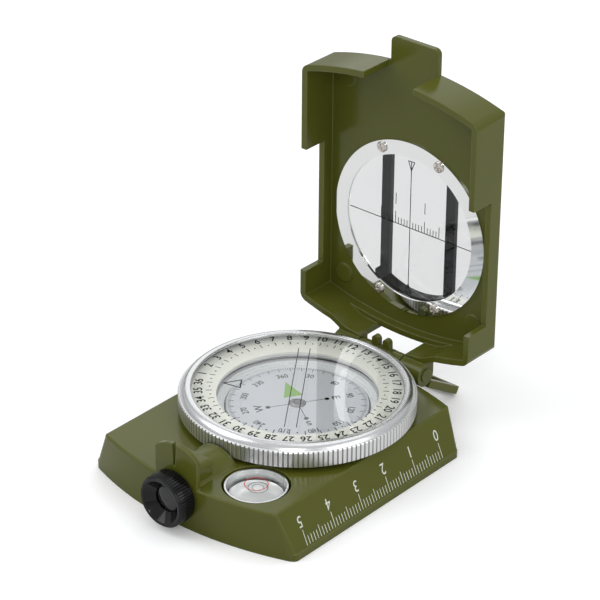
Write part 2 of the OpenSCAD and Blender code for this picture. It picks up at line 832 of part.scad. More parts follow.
module bezel_gasket() color(black) {
  ring(seat_r - seat_gap, glass_view_d/2, gasket_z, gasket_t);
}

module bezel_glass() color(clear) {
  translate([0, 0, glass_z]) cylinder(r = seat_r - seat_gap, h = glass_t);
}

module glass_ring() color(bright) {
  rotate_extrude() polygon([
    [glass_view_d/2, rim_step_z], [rim_ring_r, rim_step_z],
    [rim_ring_r, rim_top_z - rim_ring_t/4], [rim_ring_r - rim_ring_t/2, rim_top_z],
    [glass_view_d/2 + rim_ring_t/4, rim_top_z], [glass_view_d/2, rim_top_z - rim_ring_t/4]
  ]);
}

// Sliding lens tube with its key
module lens_cell() color(black) {
  difference() {
    union() {
      bar_y(tube_r, cell_front_y, cell_rear_y);
      translate([-key_w/2, front_y - spigot_l + focus_travel, eye_z - tube_r - key_out])
        cube([key_w, spigot_l - focus_travel + sight_depth/2, tube_r]);
    }
    bar_y(tube_bore_r, cell_front_y + lens_edge_t + retainer_t, cell_rear_y + cut);
    bar_y(lens_r + seat_gap, cell_front_y - cut, cell_front_y + lens_edge_t + retainer_t + seat_gap);
  }
}

module eyepiece_lens() color(clear) {
  y0 = cell_front_y + seat_gap + lens_bulge;
  translate([0, y0, eye_z]) rotate([-90, 0, 0]) rotate_extrude() difference() {
    union() {
      square([lens_r, lens_edge_t]);
      intersection() {
        translate([0, bulge_r(lens_r, lens_bulge) - lens_bulge])
          circle(bulge_r(lens_r, lens_bulge), $fn = 128);
        translate([0, -lens_bulge]) square([lens_r, lens_bulge + lens_edge_t/2]);
      }
    }
    translate([-lens_r, -lens_bulge]) square([lens_r, lens_edge_t + 2*lens_bulge]);
  }
}

// Radius of a face that stands out by a given height over a given radius
function bulge_r(r, h) = (r*r + h*h)/(2*h);

module lens_retainer() color(black) {
  y0 = cell_front_y + lens_bulge + lens_edge_t + 2*seat_gap;
  difference() {
    bar_y(lens_r - seat_gap, y0, cell_front_y + lens_edge_t + retainer_t);
    bar_y(tube_bore_r - tube_wall, y0 - cut, y0 + retainer_t + cut);
  }
}

// Knurled ring, captive on the lens tube and run on the spigot
module focus_ring() color(black) {
  inner_y = front_y - spigot_l - focus_end_gap;
  difference() {
    translate([0, ring_rear_y, eye_z]) rotate([90, 0, 0]) linear_extrude(focus_l)
      polygon(grooved(focus_r, focus_groove_depth, focus_grooves));
    bar_y(spigot_r + eye_fit, inner_y, ring_rear_y + cut);
    bar_y(tube_r + eye_fit, cell_front_y - seat_gap, ring_rear_y);
    translate([0, cell_front_y, eye_z]) rotate([90, 0, 0])
      cylinder(r1 = lens_mouth_r, r2 = focus_mouth_r, h = cell_front_y - ring_front_y);
    bar_y(focus_mouth_r, ring_front_y - cut, ring_front_y + seat_gap);
    bar_y(lens_mouth_r, cell_front_y - cut, cell_front_y + cut);
  }
}

// Everything on the lid is drawn closed and swung open here
module swung() {
  at_pin() rotate([-lid_open, 0, 0]) translate([0, -hinge_y, -hinge_z]) children();
}

module tab_outline() {
  reach = front_reach + tab_l;
  difference() {
    translate([-tab_w/2, -reach]) square([tab_w, tab_l + lid_wall_t]);
    for (s = [-1, 1]) translate([s*tab_w/2, -reach]) difference() {
      square(2*tab_corner_r, center = true);
      translate([-s*tab_corner_r, tab_corner_r]) circle(tab_corner_r, $fn = 48);
    }
  }
}

// Rear edge of the lid, set in by a wall, at a distance from the centre line
function lid_rear_y(x, inset) = lid_rear - end_arc_r + sqrt((end_arc_r - inset)*(end_arc_r - inset) - x*x);

// Cranked arms that swing the rear wall out past the bezel to the hinge
module arms(inset, step) {
  span = arm_root_x - arm_foot_x;
  function arm_y(x) = lid_rear_y(x, inset)
    + step*(1 - cos(180*min(1, (arm_root_x - x)/span)))/2;
  both_sides() polygon(concat(
    [[arm_root_x, 0], [arm_root_x, lid_rear_y(arm_root_x, inset) - arm_sink]],
    [for (i = [2 : arm_facets]) let (x = arm_root_x - span*i/arm_facets) [x, arm_y(x)]],
    [[arm_gap/2, arm_y(arm_gap/2)], [arm_gap/2, 0]]
  ));
}

// Section of the lid in X and Z with its outer edges rounded
module lid_section() {
  half = lid_half - lid_edge_r;
  translate([-lid_half, lid_rim_z]) square([lid_w, lid_depth - lid_edge_r]);
  translate([-half, lid_rim_z]) square([2*half, lid_depth]);
  for (s = [-1, 1]) translate([s*half, lid_top_z - lid_edge_r]) circle(lid_edge_r, $fn = 48);
}

module lid_shell() color(olive) swung() {
  difference() {
    union() {
      difference() {
        union() {
          eased_body(lid_rear, lid_rim_z, lid_top_z, lid_edge_r) lid_section();
          translate([0, 0, lid_rim_z]) linear_extrude(lid_in_z - lid_rim_z) arms(0, arm_crank);
        }
        translate([0, 0, lid_rim_z - cut]) linear_extrude(lid_depth - lid_plate_t + cut)
          plan(lid_half - lid_wall_t, lid_wall_t, lid_rear);
        translate([0, 0, lid_rim_z - cut]) linear_extrude(arm_gap_h + cut)
          arms(lid_wall_t, arm_crank + lid_wall_t - arm_t);
        // Gap in the front wall for the sight block
        translate([-sight_gap_half, -front_reach - cut, lid_rim_z - cut])
          cube([2*sight_gap_half, 4*lid_wall_t, lid_in_z - lid_rim_z + cut]);
        // Openings in both side walls
        translate([-lid_w, -grip_l/2, lid_rim_z - cut])
          cube([2*lid_w, grip_l, grip_top_z - lid_rim_z + cut]);
        // Opening between the hinge arms
        translate([-arm_gap/2, lid_rear - 4*lid_wall_t, lid_rim_z - cut])
          cube([arm_gap, 6*lid_wall_t, arm_top_z - lid_rim_z + cut]);
      }
      translate([0, 0, lid_in_z]) linear_extrude(lid_plate_t) tab_outline();
      both_sides() {
        at_pin() bar_x(barrel_r, barrel_start, barrel_end);
        translate([barrel_start, arm_in_y, lid_rim_z])
          cube([barrel_end - barrel_start, hinge_y - arm_in_y, web_top_z - lid_rim_z]);
        for (y = [boss_front_y, boss_rear_y])
          translate([boss_in_x, y, lid_in_z - boss_in_h])
            cylinder(r = boss_in_r, h = boss_in_h + lid_plate_t/2);
      }
    }
    translate([0, 0, lid_in_z - cut]) cylinder(r = window_bore_r, h = lid_plate_t + 2*cut);
    // Room for the bezel when the lid is closed
    translate([0, 0, lid_rim_z - cut]) cylinder(r = relief_r, h = relief_top_z - lid_rim_z + cut);
    both_sides() at_pin() bar_x(pin_bore_r, barrel_start - cut, barrel_end + cut);
    window_holes(window_screw_r + seat_gap);
  }
}

// Places of the window screws round the ring
function window_places() = [
  for (side = [-1, 1], s = [-1, 1])
    [screw_circle_d/2*s*sin(screw_angle), screw_circle_d/2*side*cos(screw_angle)]
];

module window_holes(r) {
  for (p = window_places()) translate([p.x, p.y, lid_in_z - window_ring_t - cut])
    cylinder(r = r, h = window_screw_l + 2*cut, $fn = 32);
}

module window_ring() color(bright) swung() {
  difference() {
    ring(window_ring_d/2, window_view_d/2, lid_in_z - window_ring_t, window_ring_t);
    window_holes(window_screw_r + seat_gap);
  }
}

module window_glass() color(clear) swung() {
  translate([0, 0, window_glass_z]) cylinder(r = window_glass_d/2, h = window_glass_t);
}

// Keeps what lies between the outer edges of the two guard bars
module guard_span() {
  intersection() {
    children();
    translate([-guard_half, -window_ring_d, lid_rim_z]) cube([2*guard_half, 2*window_ring_d, 2*lid_depth]);
  }
}

module window_gasket() color(black) swung() {
  guard_span()
    ring(window_glass_d/2 - seat_gap, window_view_d/2 + seat_gap, window_gasket_z, window_gasket_t);
}

// Moulded guard behind the glass with two upright bars
module window_frame() color(black) swung() {
  guard_z = frame_z + frame_h - guard_t;
  difference() {
    guard_span() {
      ring(frame_flange_r, window_view_d/2, frame_z, frame_flange_t);
      ring(frame_wall_r, window_view_d/2, frame_z, frame_h);
      intersection() {
        for (s = [-1, 1]) translate([s*guard_x - guard_w/2, -window_view_d/2, guard_z])
          cube([guard_w, window_view_d, guard_t]);
        translate([0, 0, frame_z]) cylinder(r = window_view_d/2 + frame_wall_t/2, h = frame_h);
      }
    }
    for (p = window_places()) translate([p.x, p.y, frame_z - cut])
      cylinder(r = window_screw_r + seat_gap, h = frame_flange_t + 2*cut, $fn = 32);
  }
}

module window_screws() color("silver") swung() {
  z0 = lid_in_z - window_ring_t - seat_gap;
  for (p = window_places()) translate([p.x, p.y, 0]) {
    translate([0, 0, z0 - window_head_t]) cylinder(r = window_head_r, h = window_head_t, $fn = 48);
    translate([0, 0, z0 - window_head_t/2])
      cylinder(r = window_screw_r, h = window_screw_l + window_head_t/2, $fn = 32);
  }
}

// Loop that hangs from the pin between the knuckle and the lid barrels
module thumb_loop() color(olive) {
  eye_r = barrel_r - seat_gap;
  shoulder = barrel_r + free_gap;
  at_pin() rotate([-loop_slope, 0, 0]) difference() {
    union() {
      both_sides() {
        bar_x(eye_r, eye_start, eye_end);
        translate([eye_start, 0, -loop_drop - loop_t/2])
          cube([eye_end - eye_start, shoulder + loop_bar, loop_t]);
      }
      translate([0, 0, -loop_drop - loop_t/2]) linear_extrude(loop_t) difference() {
        translate([-loop_w/2, shoulder]) square([loop_w, loop_l - shoulder]);
        translate([-loop_w/2 + loop_bar, shoulder + loop_bar])
          square([loop_w - 2*loop_bar, loop_l - shoulder - 2*loop_bar]);
        for (s = [-1, 1]) translate([s*loop_w/2, loop_l]) difference() {
          square(2*loop_corner_r, center = true);
          translate([-s*loop_corner_r, -loop_corner_r]) circle(loop_corner_r, $fn = 64);
        }
      }
    }
    both_sides() bar_x(pin_bore_r, eye_start - cut, eye_end + cut);
    // Room for the knuckle between the eyes
    bar_x(barrel_r + free_gap, -eye_start, eye_start);
  }
}

base_housing();
bottom_plate();
bottom_screws();
tripod_bush();
capsule_cup();
pivot_post();
capsule_seal();
capsule_cover();
capsule_ring();
bezel_spring();
level_cup();
level_vial();
reading_window();
hinge_pin();
hinge_washers();
compass_card();
card_magnets();
jewel_cap();
pivot_jewel();
bezel_ring();
dial_ring();
bezel_gasket();
bezel_glass();
glass_ring();
lens_cell();
eyepiece_lens();
lens_retainer();
focus_ring();
lid_shell();
window_ring();
window_glass();
window_gasket();
window_frame();
window_screws();
thumb_loop();
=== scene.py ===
"""Looks of a folding sighting compass: olive castings, knurled bright bezel, printed dial and window."""

import math

import bpy
from mathutils import Matrix, Vector


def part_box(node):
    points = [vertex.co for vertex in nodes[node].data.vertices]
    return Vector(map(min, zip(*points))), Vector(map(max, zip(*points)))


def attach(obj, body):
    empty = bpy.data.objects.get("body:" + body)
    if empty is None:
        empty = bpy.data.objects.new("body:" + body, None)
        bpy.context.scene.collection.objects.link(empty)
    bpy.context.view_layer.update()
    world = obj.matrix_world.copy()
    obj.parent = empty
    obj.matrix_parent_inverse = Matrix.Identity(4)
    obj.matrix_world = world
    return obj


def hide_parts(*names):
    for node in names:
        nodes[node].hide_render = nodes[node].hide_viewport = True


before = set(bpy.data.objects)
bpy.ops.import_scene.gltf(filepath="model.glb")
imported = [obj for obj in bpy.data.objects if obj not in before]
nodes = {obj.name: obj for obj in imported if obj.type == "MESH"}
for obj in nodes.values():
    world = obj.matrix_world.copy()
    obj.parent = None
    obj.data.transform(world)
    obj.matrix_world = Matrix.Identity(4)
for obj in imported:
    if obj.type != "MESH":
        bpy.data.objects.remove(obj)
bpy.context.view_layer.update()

MM = 0.001

# Thickness of all print, and how far bold letters are swollen as a share of their height
INK = 0.02 * MM
BOLD = 0.012

# The camera of the photograph, in millimetres and degrees about the dial axis, its clip in metres
CAMERA_AZIMUTH = 40.36
CAMERA_ELEVATION = 28.68
CAMERA_ROLL = 0.42
CAMERA_DISTANCE = 669.43
CAMERA_RIGHT = 0.69
CAMERA_UP = 36.25
CAMERA_LENS = 165.67
SENSOR_WIDTH = 36
CAMERA_CLIP = (0.01, 20)

# Print on the dial glass, which turns with the bezel: a number and a tick every ten degrees
DIAL_NORTH = 234.6
DIAL_NUMBERS = 36
DIAL_STEP = 10
NUMBER_RADIUS = 23.9
NUMBER_HEIGHT = 2.2
NUMBER_NARROW = 0.94
TICK_RADII = (20.55, 22.0)
TICK_WIDTH = 0.2
DOT_RADIUS = 21.1
DOT_SIZE = 0.21
HAIRLINE_OFFSET = 1.4
HAIRLINE_HALF = 18.7
HAIRLINE_WIDTH = 0.18
ARROW_TIP = 18.2
ARROW_BASE = 13.5
ARROW_HALF_WIDTH = 2.05
ARROW_STROKE = 0.3

# Printed card: length and width of its long and short ticks, its numbers, pointer and quarter marks
CARD_NORTH = -57
CARD_TICK_DEGREES = 2
CARD_LONG_TICK = (1.5, 0.17)
CARD_SHORT_TICK = (0.8, 0.1)
CARD_MARGIN = 0.35
CARD_NUMBER_RADIUS = 13.2
CARD_NUMBER_HEIGHT = 1.7
CARD_NARROW = 0.85
POINTER_TIP = 10.3
POINTER_BASE = 3.3
POINTER_HALF_WIDTH = 2.45
QUARTER_START = 1.9
QUARTER_WIDTH = 0.15
QUARTER_DOT = 7.4
QUARTER_DOT_SIZE = 0.6
QUARTER_LETTER = 9.7
QUARTER_HEIGHT = 1.95
QUARTER_WIDE = 1.1
CAP_RING_RADIUS = 0.85
HUB_RING_RADIUS = 2.0
CAP_STROKE = 0.16

# Ruler on the sloped side: its length from the zero, the way up the slope, and tick lengths by their step
RULER_LENGTH = 50
RULER_ZERO_Y = 17.52
RULER_FOOT = Vector((30.99, 0, 2.12))
RULER_UP = Vector((-0.413, 0, 0.911))
RULER_TICKS = {10: 3.9, 5: 2.95, 1: 2.1}
RULER_STROKE = 0.17
RULER_DIGIT_RISE = 5.85
RULER_DIGIT_HEIGHT = 2.75
RULER_NARROW = 0.85

# Window print, about the middle of the open window
WINDOW_Z = 44.15
WINDOW_LINE_HALF = 18.9
WINDOW_LINE_WIDTH = 0.23
WINDOW_UPRIGHT_SHORTER = 1.6
WINDOW_STEP = 0.9
WINDOW_STEPS = 10
WINDOW_LONG_TICK = 3.2
WINDOW_SHORT_TICK = 1.75
WINDOW_TICK_WIDTH = 0.19
SIDE_MARK = (0.2, 3.0)
SIDE_MARK_ASIDE = 5 * WINDOW_STEP
SIDE_MARK_RISE = 6.7
SIGHT_RISE = 18.1
SIGHT_TRIANGLE = (1.1, 2.9, 0.22)

# Level: radius and stroke of its red circle and of the bubble's two rings, and where the bubble stands
LEVEL_CIRCLE = (2.75, 0.2)
BUBBLE_RINGS = ((2.3, 0.22), (1.35, 0.14))
BUBBLE_PLACE = Vector((0.3, 0.25, 10.62))
LIQUID_SECTION = (
    (0, 6.0), (6.4, 6.0), (6.5, 6.2), (6.5, 8.6), (6.2, 8.4), (5.6, 8.1), (4.4, 7.95), (0, 7.9))

# Bezel: its knurls, the crown inside them, and its section as radius and height
KNURL_COUNT = 154
KNURL_DEPTH = 0.4
KNURL_RADIUS = 28.7
CROWN_RADIUS = 28.2
BEZEL_SECTION = (
    (24.08, 12.55), (28.25, 12.55), (28.45, 12.62), (KNURL_RADIUS, 12.85), (KNURL_RADIUS, 16.55),
    (28.5, 16.82), (28.3, 16.86), (28.18, 16.9), (28.1, 17.02), (28.0, 17.2), (27.85, 17.42), (27.66, 17.64),
    (27.45, 17.83), (27.25, 17.98), (27.1, 18.06), (27.08, 17.7), (26.4, 17.7), (26.4, 15.5), (24.08, 15.5))
GLASS_RING_SECTION = (
    (25.55, 17.7), (27.05, 17.7), (27.05, 18.04), (27.0, 18.09), (26.8, 18.15), (26.5, 18.19), (26.1, 18.2),
    (25.8, 18.17), (25.63, 18.1), (25.55, 17.98))

# Eyepiece ring: its ribs, and its section as radius and distance forward of the dial axis
FOCUS_RIBS = 60
FOCUS_DEPTH = 0.45
FOCUS_RADIUS = 6.55
EYE_Z = 8.2
FOCUS_SECTION = (
    (5.26, 43.5), (6.25, 43.5), (6.4, 43.58), (FOCUS_RADIUS, 43.8), (FOCUS_RADIUS, 47.75), (6.45, 47.95),
    (6.2, 48.0), (6.15, 48.3), (6.05, 48.4), (5.5, 48.4), (5.35, 48.33), (5.27, 48.2), (3.08, 46.42),
    (4.06, 46.42), (4.06, 46.0), (5.26, 46.0))

# Rows of faces that make one knurl or one rib, and how far a face turns aside to count as a groove's wall
ROWS_EACH = 6
GROOVE_WALL = 0.4

# Screws: radius and height of head, radius and length of shank. The window's are seated behind their
# node's front, the bottom plate's above the ground, and the crosses stand a little turned.
WINDOW_SCREW = (1.4, 0.5, 0.55, 3.2)
WINDOW_SEAT = 0.5
BOTTOM_SCREW = (1.8, 0.72, 0.72, 4.9)
BOTTOM_SEAT = 0.8
CROSS_TURN = 20

# A screw's domed head as shares of its radius and height, and the bars that cut its cross: width and
# length as shares of the radius, and thickness as a share of the height
DOME = ((1, 0.55), (0.85, 0.9), (0.6, 1), (0, 1))
CROSS_BAR = (0.3, 1.25, 1.4)

# Stepped clear collar round the card, as radius and height
COLLAR_SECTION = (
    (19.55, 11.6), (19.55, 13.95), (19.15, 13.95), (19.05, 13.6), (18.65, 13.55), (18.55, 13.2),
    (18.15, 13.15), (18.05, 12.8), (17.7, 12.7), (17.65, 11.6))

# Surfaces: the noise values that span a finish's roughness, how strongly its skin shows, and for turned
# metal the noise scales of its grain and how strongly its fine rings show
NOISE_SPAN = (0.3, 0.7)
SKIN_STRENGTH = 0.6
METAL_GRAIN = (90, 300)
RING_STRENGTH = 0.5

# Painted highlight on edges: cosine between the softened and the flat face where the lighter colour starts
# and where it is full, and the share of that lighter colour there
EDGE_HIGHLIGHT_START = 0.995
EDGE_HIGHLIGHT_FULL = 0.85
EDGE_HIGHLIGHT_SHARE = 0.55

# Distances within which doubled corners merge, in new shells and in castings
WELD = 0.0005 * MM
CAST_WELD = 0.002 * MM

# Corners of the castings: how round they are, how far the end walls lean from square, and for the lid, the
# base's lip and the slope over it, where each corner stands and the run of the bar that cuts it
LID_RADIUS = 2.3
BASE_RADIUS = 1.6
CORNER_STEPS = 7
CUTTER_REACH = 1.6
END_LEAN = math.radians(17)
LID_SIDE = 26.6
LID_ENDS = {-1: 19.42, 1: 83.12}
LID_START_Y = 31.0
LID_RUN = (0, 13.5, 0)
LIP_SIDE = 31.45
LIP_ENDS = {-1: -37.2, 1: 23.3}
LIP_START_Z = -1
LIP_RUN = (0, 0, 2.8)
SLOPE_SIDE = 31.1
SLOPE_ENDS = {-1: -37.4, 1: 23.5}
SLOPE_START_Z = 1.8
SLOPE_RUN = (4.59, 1.68, 10.2)

# Floor in metres, and the light that it adds to what the camera sees of it, as in a lit white sweep
FLOOR_RADIUS = 2.2
FLOOR_DROP = 0.02 * MM
FLOOR_GLOW = 0.1
FLOOR_TONE = (0.72, 0.72, 0.715)
FLOOR_SEEN = (0.98, 0.98, 0.98)

# Light of the room: where up the sky each tone stands, and the tone
HORIZON = (0.02, (0.40, 0.40, 0.40))
SKY = (0.35, (0.68, 0.69, 0.70))

# Softboxes: place in metres, width and height, and power in watts
SOFTBOXES = {
    "key_left": ((-0.55, -0.45, 0.75), (0.6, 0.6), 2.4),
    "fill_right": ((0.85, 0.0, 0.36), (0.6, 0.6), 1.8),
    "top": ((0.05, 0.25, 0.95), (0.8, 0.8), 1.6),
    "sheen_back": ((-0.51, 0.60, 0.43), (0.55, 0.45), 0.5),
    "edge_front": ((0.50, -0.68, 0.62), (0.16, 0.16), 1.0),
}


# Materials

def shader_tree(name):
    """A new material with its nodes, its links and its surface shader."""
    material = bpy.data.materials.new(name)
    material.use_nodes = True
    tree = material.node_tree
    return material, tree.nodes, tree.links, tree.nodes["Principled BSDF"]


def grain_group():
    """Mottling, fine roughness and a skin height, from object coordinates, shared by every finish."""
    group = bpy.data.node_groups.new("surface_grain", "ShaderNodeTree")
    for label, value in (("Broad", 60.0), ("Fine", 900.0), ("Low", 0.3), ("High", 0.4)):
        socket = group.interface.new_socket(label, in_out="INPUT", socket_type="NodeSocketFloat")
        socket.default_value = value
    for label in ("Mottle", "Roughness", "Height"):
        group.interface.new_socket(label, in_out="OUTPUT", socket_type="NodeSocketFloat")
    add, join = group.nodes.new, group.links.new
    into, out = add("NodeGroupInput"), add("NodeGroupOutput")
    place = add("ShaderNodeTexCoord")
    broad, fine = add("ShaderNodeTexNoise"), add("ShaderNodeTexNoise")
    for noise, label, detail in ((broad, "Broad", 4), (fine, "Fine", 2)):
        noise.inputs["Detail"].default_value = detail
        join(place.outputs["Object"], noise.inputs["Vector"])
        join(into.outputs[label], noise.inputs["Scale"])
    spread = add("ShaderNodeMapRange")
    join(fine.outputs["Fac"], spread.inputs["Value"])
    spread.inputs["From Min"].default_value = NOISE_SPAN[0]
    spread.inputs["From Max"].default_value = NOISE_SPAN[1]
    join(into.outputs["Low"], spread.inputs["To Min"])
    join(into.outputs["High"], spread.inputs["To Max"])
    join(broad.outputs["Fac"], out.inputs["Mottle"])
    join(spread.outputs["Result"], out.inputs["Roughness"])
    join(fine.outputs["Fac"], out.inputs["Height"])
    return group


GRAIN = grain_group()


def add_grain(tree, broad, fine, low, high):
    """The shared grain in a material, with its noise scales and its range of roughness."""
    grain = tree.nodes.new("ShaderNodeGroup")
    grain.node_tree = GRAIN
    for label, value in (("Broad", broad), ("Fine", fine), ("Low", low), ("High", high)):
        grain.inputs[label].default_value = value
    return grain


def finish(
        name, colour, mottled, roughness, metallic=0.0,
        broad=60.0, fine=900.0, skin=0.01, ease=0.0, edge=None, shine=0.5):
    """A finish with mottled colour, uneven roughness and a fine skin.

    broad and fine are noise scales and skin is the bump's height in millimetres. ease softens the edges by a
    radius in millimetres, edge is a lighter colour painted on them as a highlight, and shine is the specular
    level.
    """
    material, add, join, surface = shader_tree(name)
    tree = material.node_tree
    grain = add_grain(tree, broad, fine, *roughness)
    tone = add.new("ShaderNodeMix")
    tone.data_type = "RGBA"
    tone.inputs["A"].default_value = (*colour, 1)
    tone.inputs["B"].default_value = (*mottled, 1)
    join.new(grain.outputs["Mottle"], tone.inputs["Factor"])
    base = tone.outputs["Result"]
    bump = add.new("ShaderNodeBump")
    bump.inputs["Strength"].default_value = SKIN_STRENGTH
    bump.inputs["Distance"].default_value = skin * MM
    join.new(grain.outputs["Height"], bump.inputs["Height"])
    if ease:
        soft = add.new("ShaderNodeBevel")
        soft.samples = 4
        soft.inputs["Radius"].default_value = ease * MM
        join.new(soft.outputs["Normal"], bump.inputs["Normal"])
    # Edges, concave and convex alike, are lightened towards the edge colour: a painted highlight
    if edge:
        flat = add.new("ShaderNodeNewGeometry")
        dot = add.new("ShaderNodeVectorMath")
        dot.operation = "DOT_PRODUCT"
        join.new(soft.outputs["Normal"], dot.inputs[0])
        join.new(flat.outputs["Normal"], dot.inputs[1])
        highlight_mask = add.new("ShaderNodeMapRange")
        highlight_mask.inputs["From Min"].default_value = EDGE_HIGHLIGHT_START
        highlight_mask.inputs["From Max"].default_value = EDGE_HIGHLIGHT_FULL
        highlight_mask.inputs["To Max"].default_value = EDGE_HIGHLIGHT_SHARE
        join.new(dot.outputs["Value"], highlight_mask.inputs["Value"])
        light = add.new("ShaderNodeMix")
        light.data_type = "RGBA"
        light.inputs["B"].default_value = (*edge, 1)
        join.new(base, light.inputs["A"])
        join.new(highlight_mask.outputs["Result"], light.inputs["Factor"])
        base = light.outputs["Result"]
    join.new(base, surface.inputs["Base Color"])
    join.new(grain.outputs["Roughness"], surface.inputs["Roughness"])
    join.new(bump.outputs["Normal"], surface.inputs["Normal"])
    surface.inputs["Metallic"].default_value = metallic
    surface.inputs["Specular IOR Level"].default_value = shine
    return material


def turned_metal(name, colour, roughness, rings, depth):
    """Lathe-turned bright metal, its fine marks running round the dial axis."""
    material, add, join, surface = shader_tree(name)
    grain = add_grain(material.node_tree, *METAL_GRAIN, *roughness)
    place = add.new("ShaderNodeTexCoord")
    flat = add.new("ShaderNodeVectorMath")
    flat.operation = "MULTIPLY"
    flat.inputs[1].default_value = (1, 1, 0)
    reach = add.new("ShaderNodeVectorMath")
    reach.operation = "LENGTH"
    marks = add.new("ShaderNodeTexNoise")
    marks.noise_dimensions = "1D"
    marks.inputs["Scale"].default_value = rings
    marks.inputs["Detail"].default_value = 3
    bump = add.new("ShaderNodeBump")
    bump.inputs["Strength"].default_value = RING_STRENGTH
    bump.inputs["Distance"].default_value = depth * MM
    join.new(place.outputs["Object"], flat.inputs[0])
    join.new(flat.outputs["Vector"], reach.inputs[0])
    join.new(reach.outputs["Value"], marks.inputs["W"])
    join.new(marks.outputs["Fac"], bump.inputs["Height"])
    join.new(bump.outputs["Normal"], surface.inputs["Normal"])
    join.new(grain.outputs["Roughness"], surface.inputs["Roughness"])
    surface.inputs["Base Color"].default_value = (*colour, 1)
    surface.inputs["Metallic"].default_value = 1
    return material


def clear_pane(name, tint, index):
    """A clear pane: seen straight through, and mirroring more the flatter it is looked at."""
    material, add, join, surface = shader_tree(name)
    surface.inputs["Base Color"].default_value = (1, 1, 1, 1)
    surface.inputs["Metallic"].default_value = 1
    surface.inputs["Roughness"].default_value = 0.01
    clear = add.new("ShaderNodeBsdfTransparent")
    clear.inputs["Color"].default_value = (*tint, 1)
    glance = add.new("ShaderNodeFresnel")
    glance.inputs["IOR"].default_value = index
    side = add.new("ShaderNodeNewGeometry")
    front = add.new("ShaderNodeMath")
    front.operation = "SUBTRACT"
    front.inputs[0].default_value = 1
    share = add.new("ShaderNodeMath")
    share.operation = "MULTIPLY"
    mix = add.new("ShaderNodeMixShader")
    join.new(side.outputs["Backfacing"], front.inputs[1])
    join.new(front.outputs["Value"], share.inputs[0])
    join.new(glance.outputs["Fac"], share.inputs[1])
    join.new(share.outputs["Value"], mix.inputs["Fac"])
    join.new(clear.outputs["BSDF"], mix.inputs[1])
    join.new(surface.outputs["BSDF"], mix.inputs[2])
    join.new(mix.outputs["Shader"], add["Material Output"].inputs["Surface"])
    return material


# The enamel's edge colour is a painted highlight along its edges
olive_enamel = finish(
    "olive_enamel", (0.080, 0.086, 0.0095), (0.092, 0.098, 0.0135), (0.16, 0.24),
    broad=45, fine=2600, skin=0.0015, ease=0.45, edge=(0.21, 0.225, 0.08), shine=0.28)
black_moulding = finish(
    "black_moulding", (0.004, 0.004, 0.0045), (0.007, 0.007, 0.008), (0.09, 0.15),
    broad=120, fine=3000, skin=0.0003, ease=0.1, shine=0.3)
black_rubber = finish(
    "black_rubber", (0.012, 0.012, 0.012), (0.02, 0.02, 0.02), (0.6, 0.75), fine=2500, skin=0.01)
pale_seal = finish(
    "pale_seal", (0.50, 0.505, 0.47), (0.58, 0.585, 0.55), (0.4, 0.5), fine=2500, skin=0.004)
turned_aluminium = turned_metal("turned_aluminium", (0.68, 0.685, 0.69), (0.24, 0.28), 1100, 0.0008)
# Darker aluminium for the walls of the bezel's knurl grooves: painted shade
groove_shade = finish(
    "groove_shade", (0.52, 0.52, 0.52), (0.60, 0.60, 0.60), (0.4, 0.5), metallic=1.0, fine=4000, skin=0.002)
knurled_aluminium = finish(
    "knurled_aluminium", (0.80, 0.805, 0.805), (0.86, 0.86, 0.86), (0.30, 0.42), metallic=1.0,
    broad=200, fine=4000, skin=0.003, ease=0.08)
bright_plate = finish(
    "bright_plate", (0.88, 0.885, 0.88), (0.92, 0.92, 0.915), (0.03, 0.06), metallic=1.0,
    broad=50, fine=600, skin=0.0005)
satin_silver = finish(
    "satin_silver", (0.82, 0.825, 0.82), (0.88, 0.88, 0.875), (0.28, 0.4), metallic=1.0,
    broad=150, fine=2500, skin=0.002, ease=0.08)
zinc_steel = finish(
    "zinc_steel", (0.62, 0.58, 0.54), (0.72, 0.68, 0.64), (0.16, 0.28), metallic=1.0,
    broad=400, fine=3000, skin=0.003, ease=0.1)
magnet_steel = finish(
    "magnet_steel", (0.16, 0.16, 0.165), (0.22, 0.22, 0.22), (0.4, 0.55), metallic=1.0, fine=2000)
turned_brass = finish(
    "turned_brass", (0.70, 0.50, 0.20), (0.78, 0.60, 0.28), (0.22, 0.34), metallic=1.0, fine=1800)
luminous_cream = finish(
    "luminous_cream", (0.74, 0.74, 0.66), (0.80, 0.80, 0.72), (0.45, 0.6), broad=90, fine=1500, skin=0.004)
card_grey = finish(
    "card_grey", (0.74, 0.75, 0.79), (0.80, 0.81, 0.85), (0.3, 0.42), broad=80, fine=1800, skin=0.002)
milky_plastic = finish(
    "milky_plastic", (0.90, 0.91, 0.92), (0.94, 0.95, 0.95), (0.08, 0.14), broad=70, fine=1500, skin=0.001,
    ease=0.1)
cap_grey = finish(
    "cap_grey", (0.30, 0.30, 0.31), (0.36, 0.36, 0.37), (0.35, 0.45), metallic=1.0, broad=300, fine=3000,
    skin=0.001)
# Dark grey for the bubble's two rings: painted shade along the bubble's rim
liquid_shade = finish(
    "liquid_shade", (0.10, 0.10, 0.10), (0.15, 0.15, 0.15), (0.2, 0.3), fine=2000, shine=0.3)
level_liquid = finish(
    "level_liquid", (0.80, 0.81, 0.80), (0.88, 0.88, 0.87), (0.16, 0.24), metallic=0.3, broad=80, fine=900,
    skin=0.001)
ruby = finish("ruby", (0.5, 0.02, 0.06), (0.6, 0.04, 0.08), (0.08, 0.12))
print_black = finish(
    "print_black", (0.008, 0.008, 0.008), (0.014, 0.014, 0.014), (0.7, 0.85), fine=2500, shine=0.08)
print_white = finish(
    "print_white", (0.62, 0.64, 0.56), (0.72, 0.74, 0.66), (0.6, 0.7), fine=2500, shine=0.2)
print_green = finish(
    "print_green", (0.22, 0.50, 0.05), (0.28, 0.58, 0.08), (0.6, 0.7), fine=1500, shine=0.2)
print_red = finish(
    "print_red", (0.50, 0.02, 0.02), (0.60, 0.04, 0.03), (0.6, 0.7), fine=1500, shine=0.2)
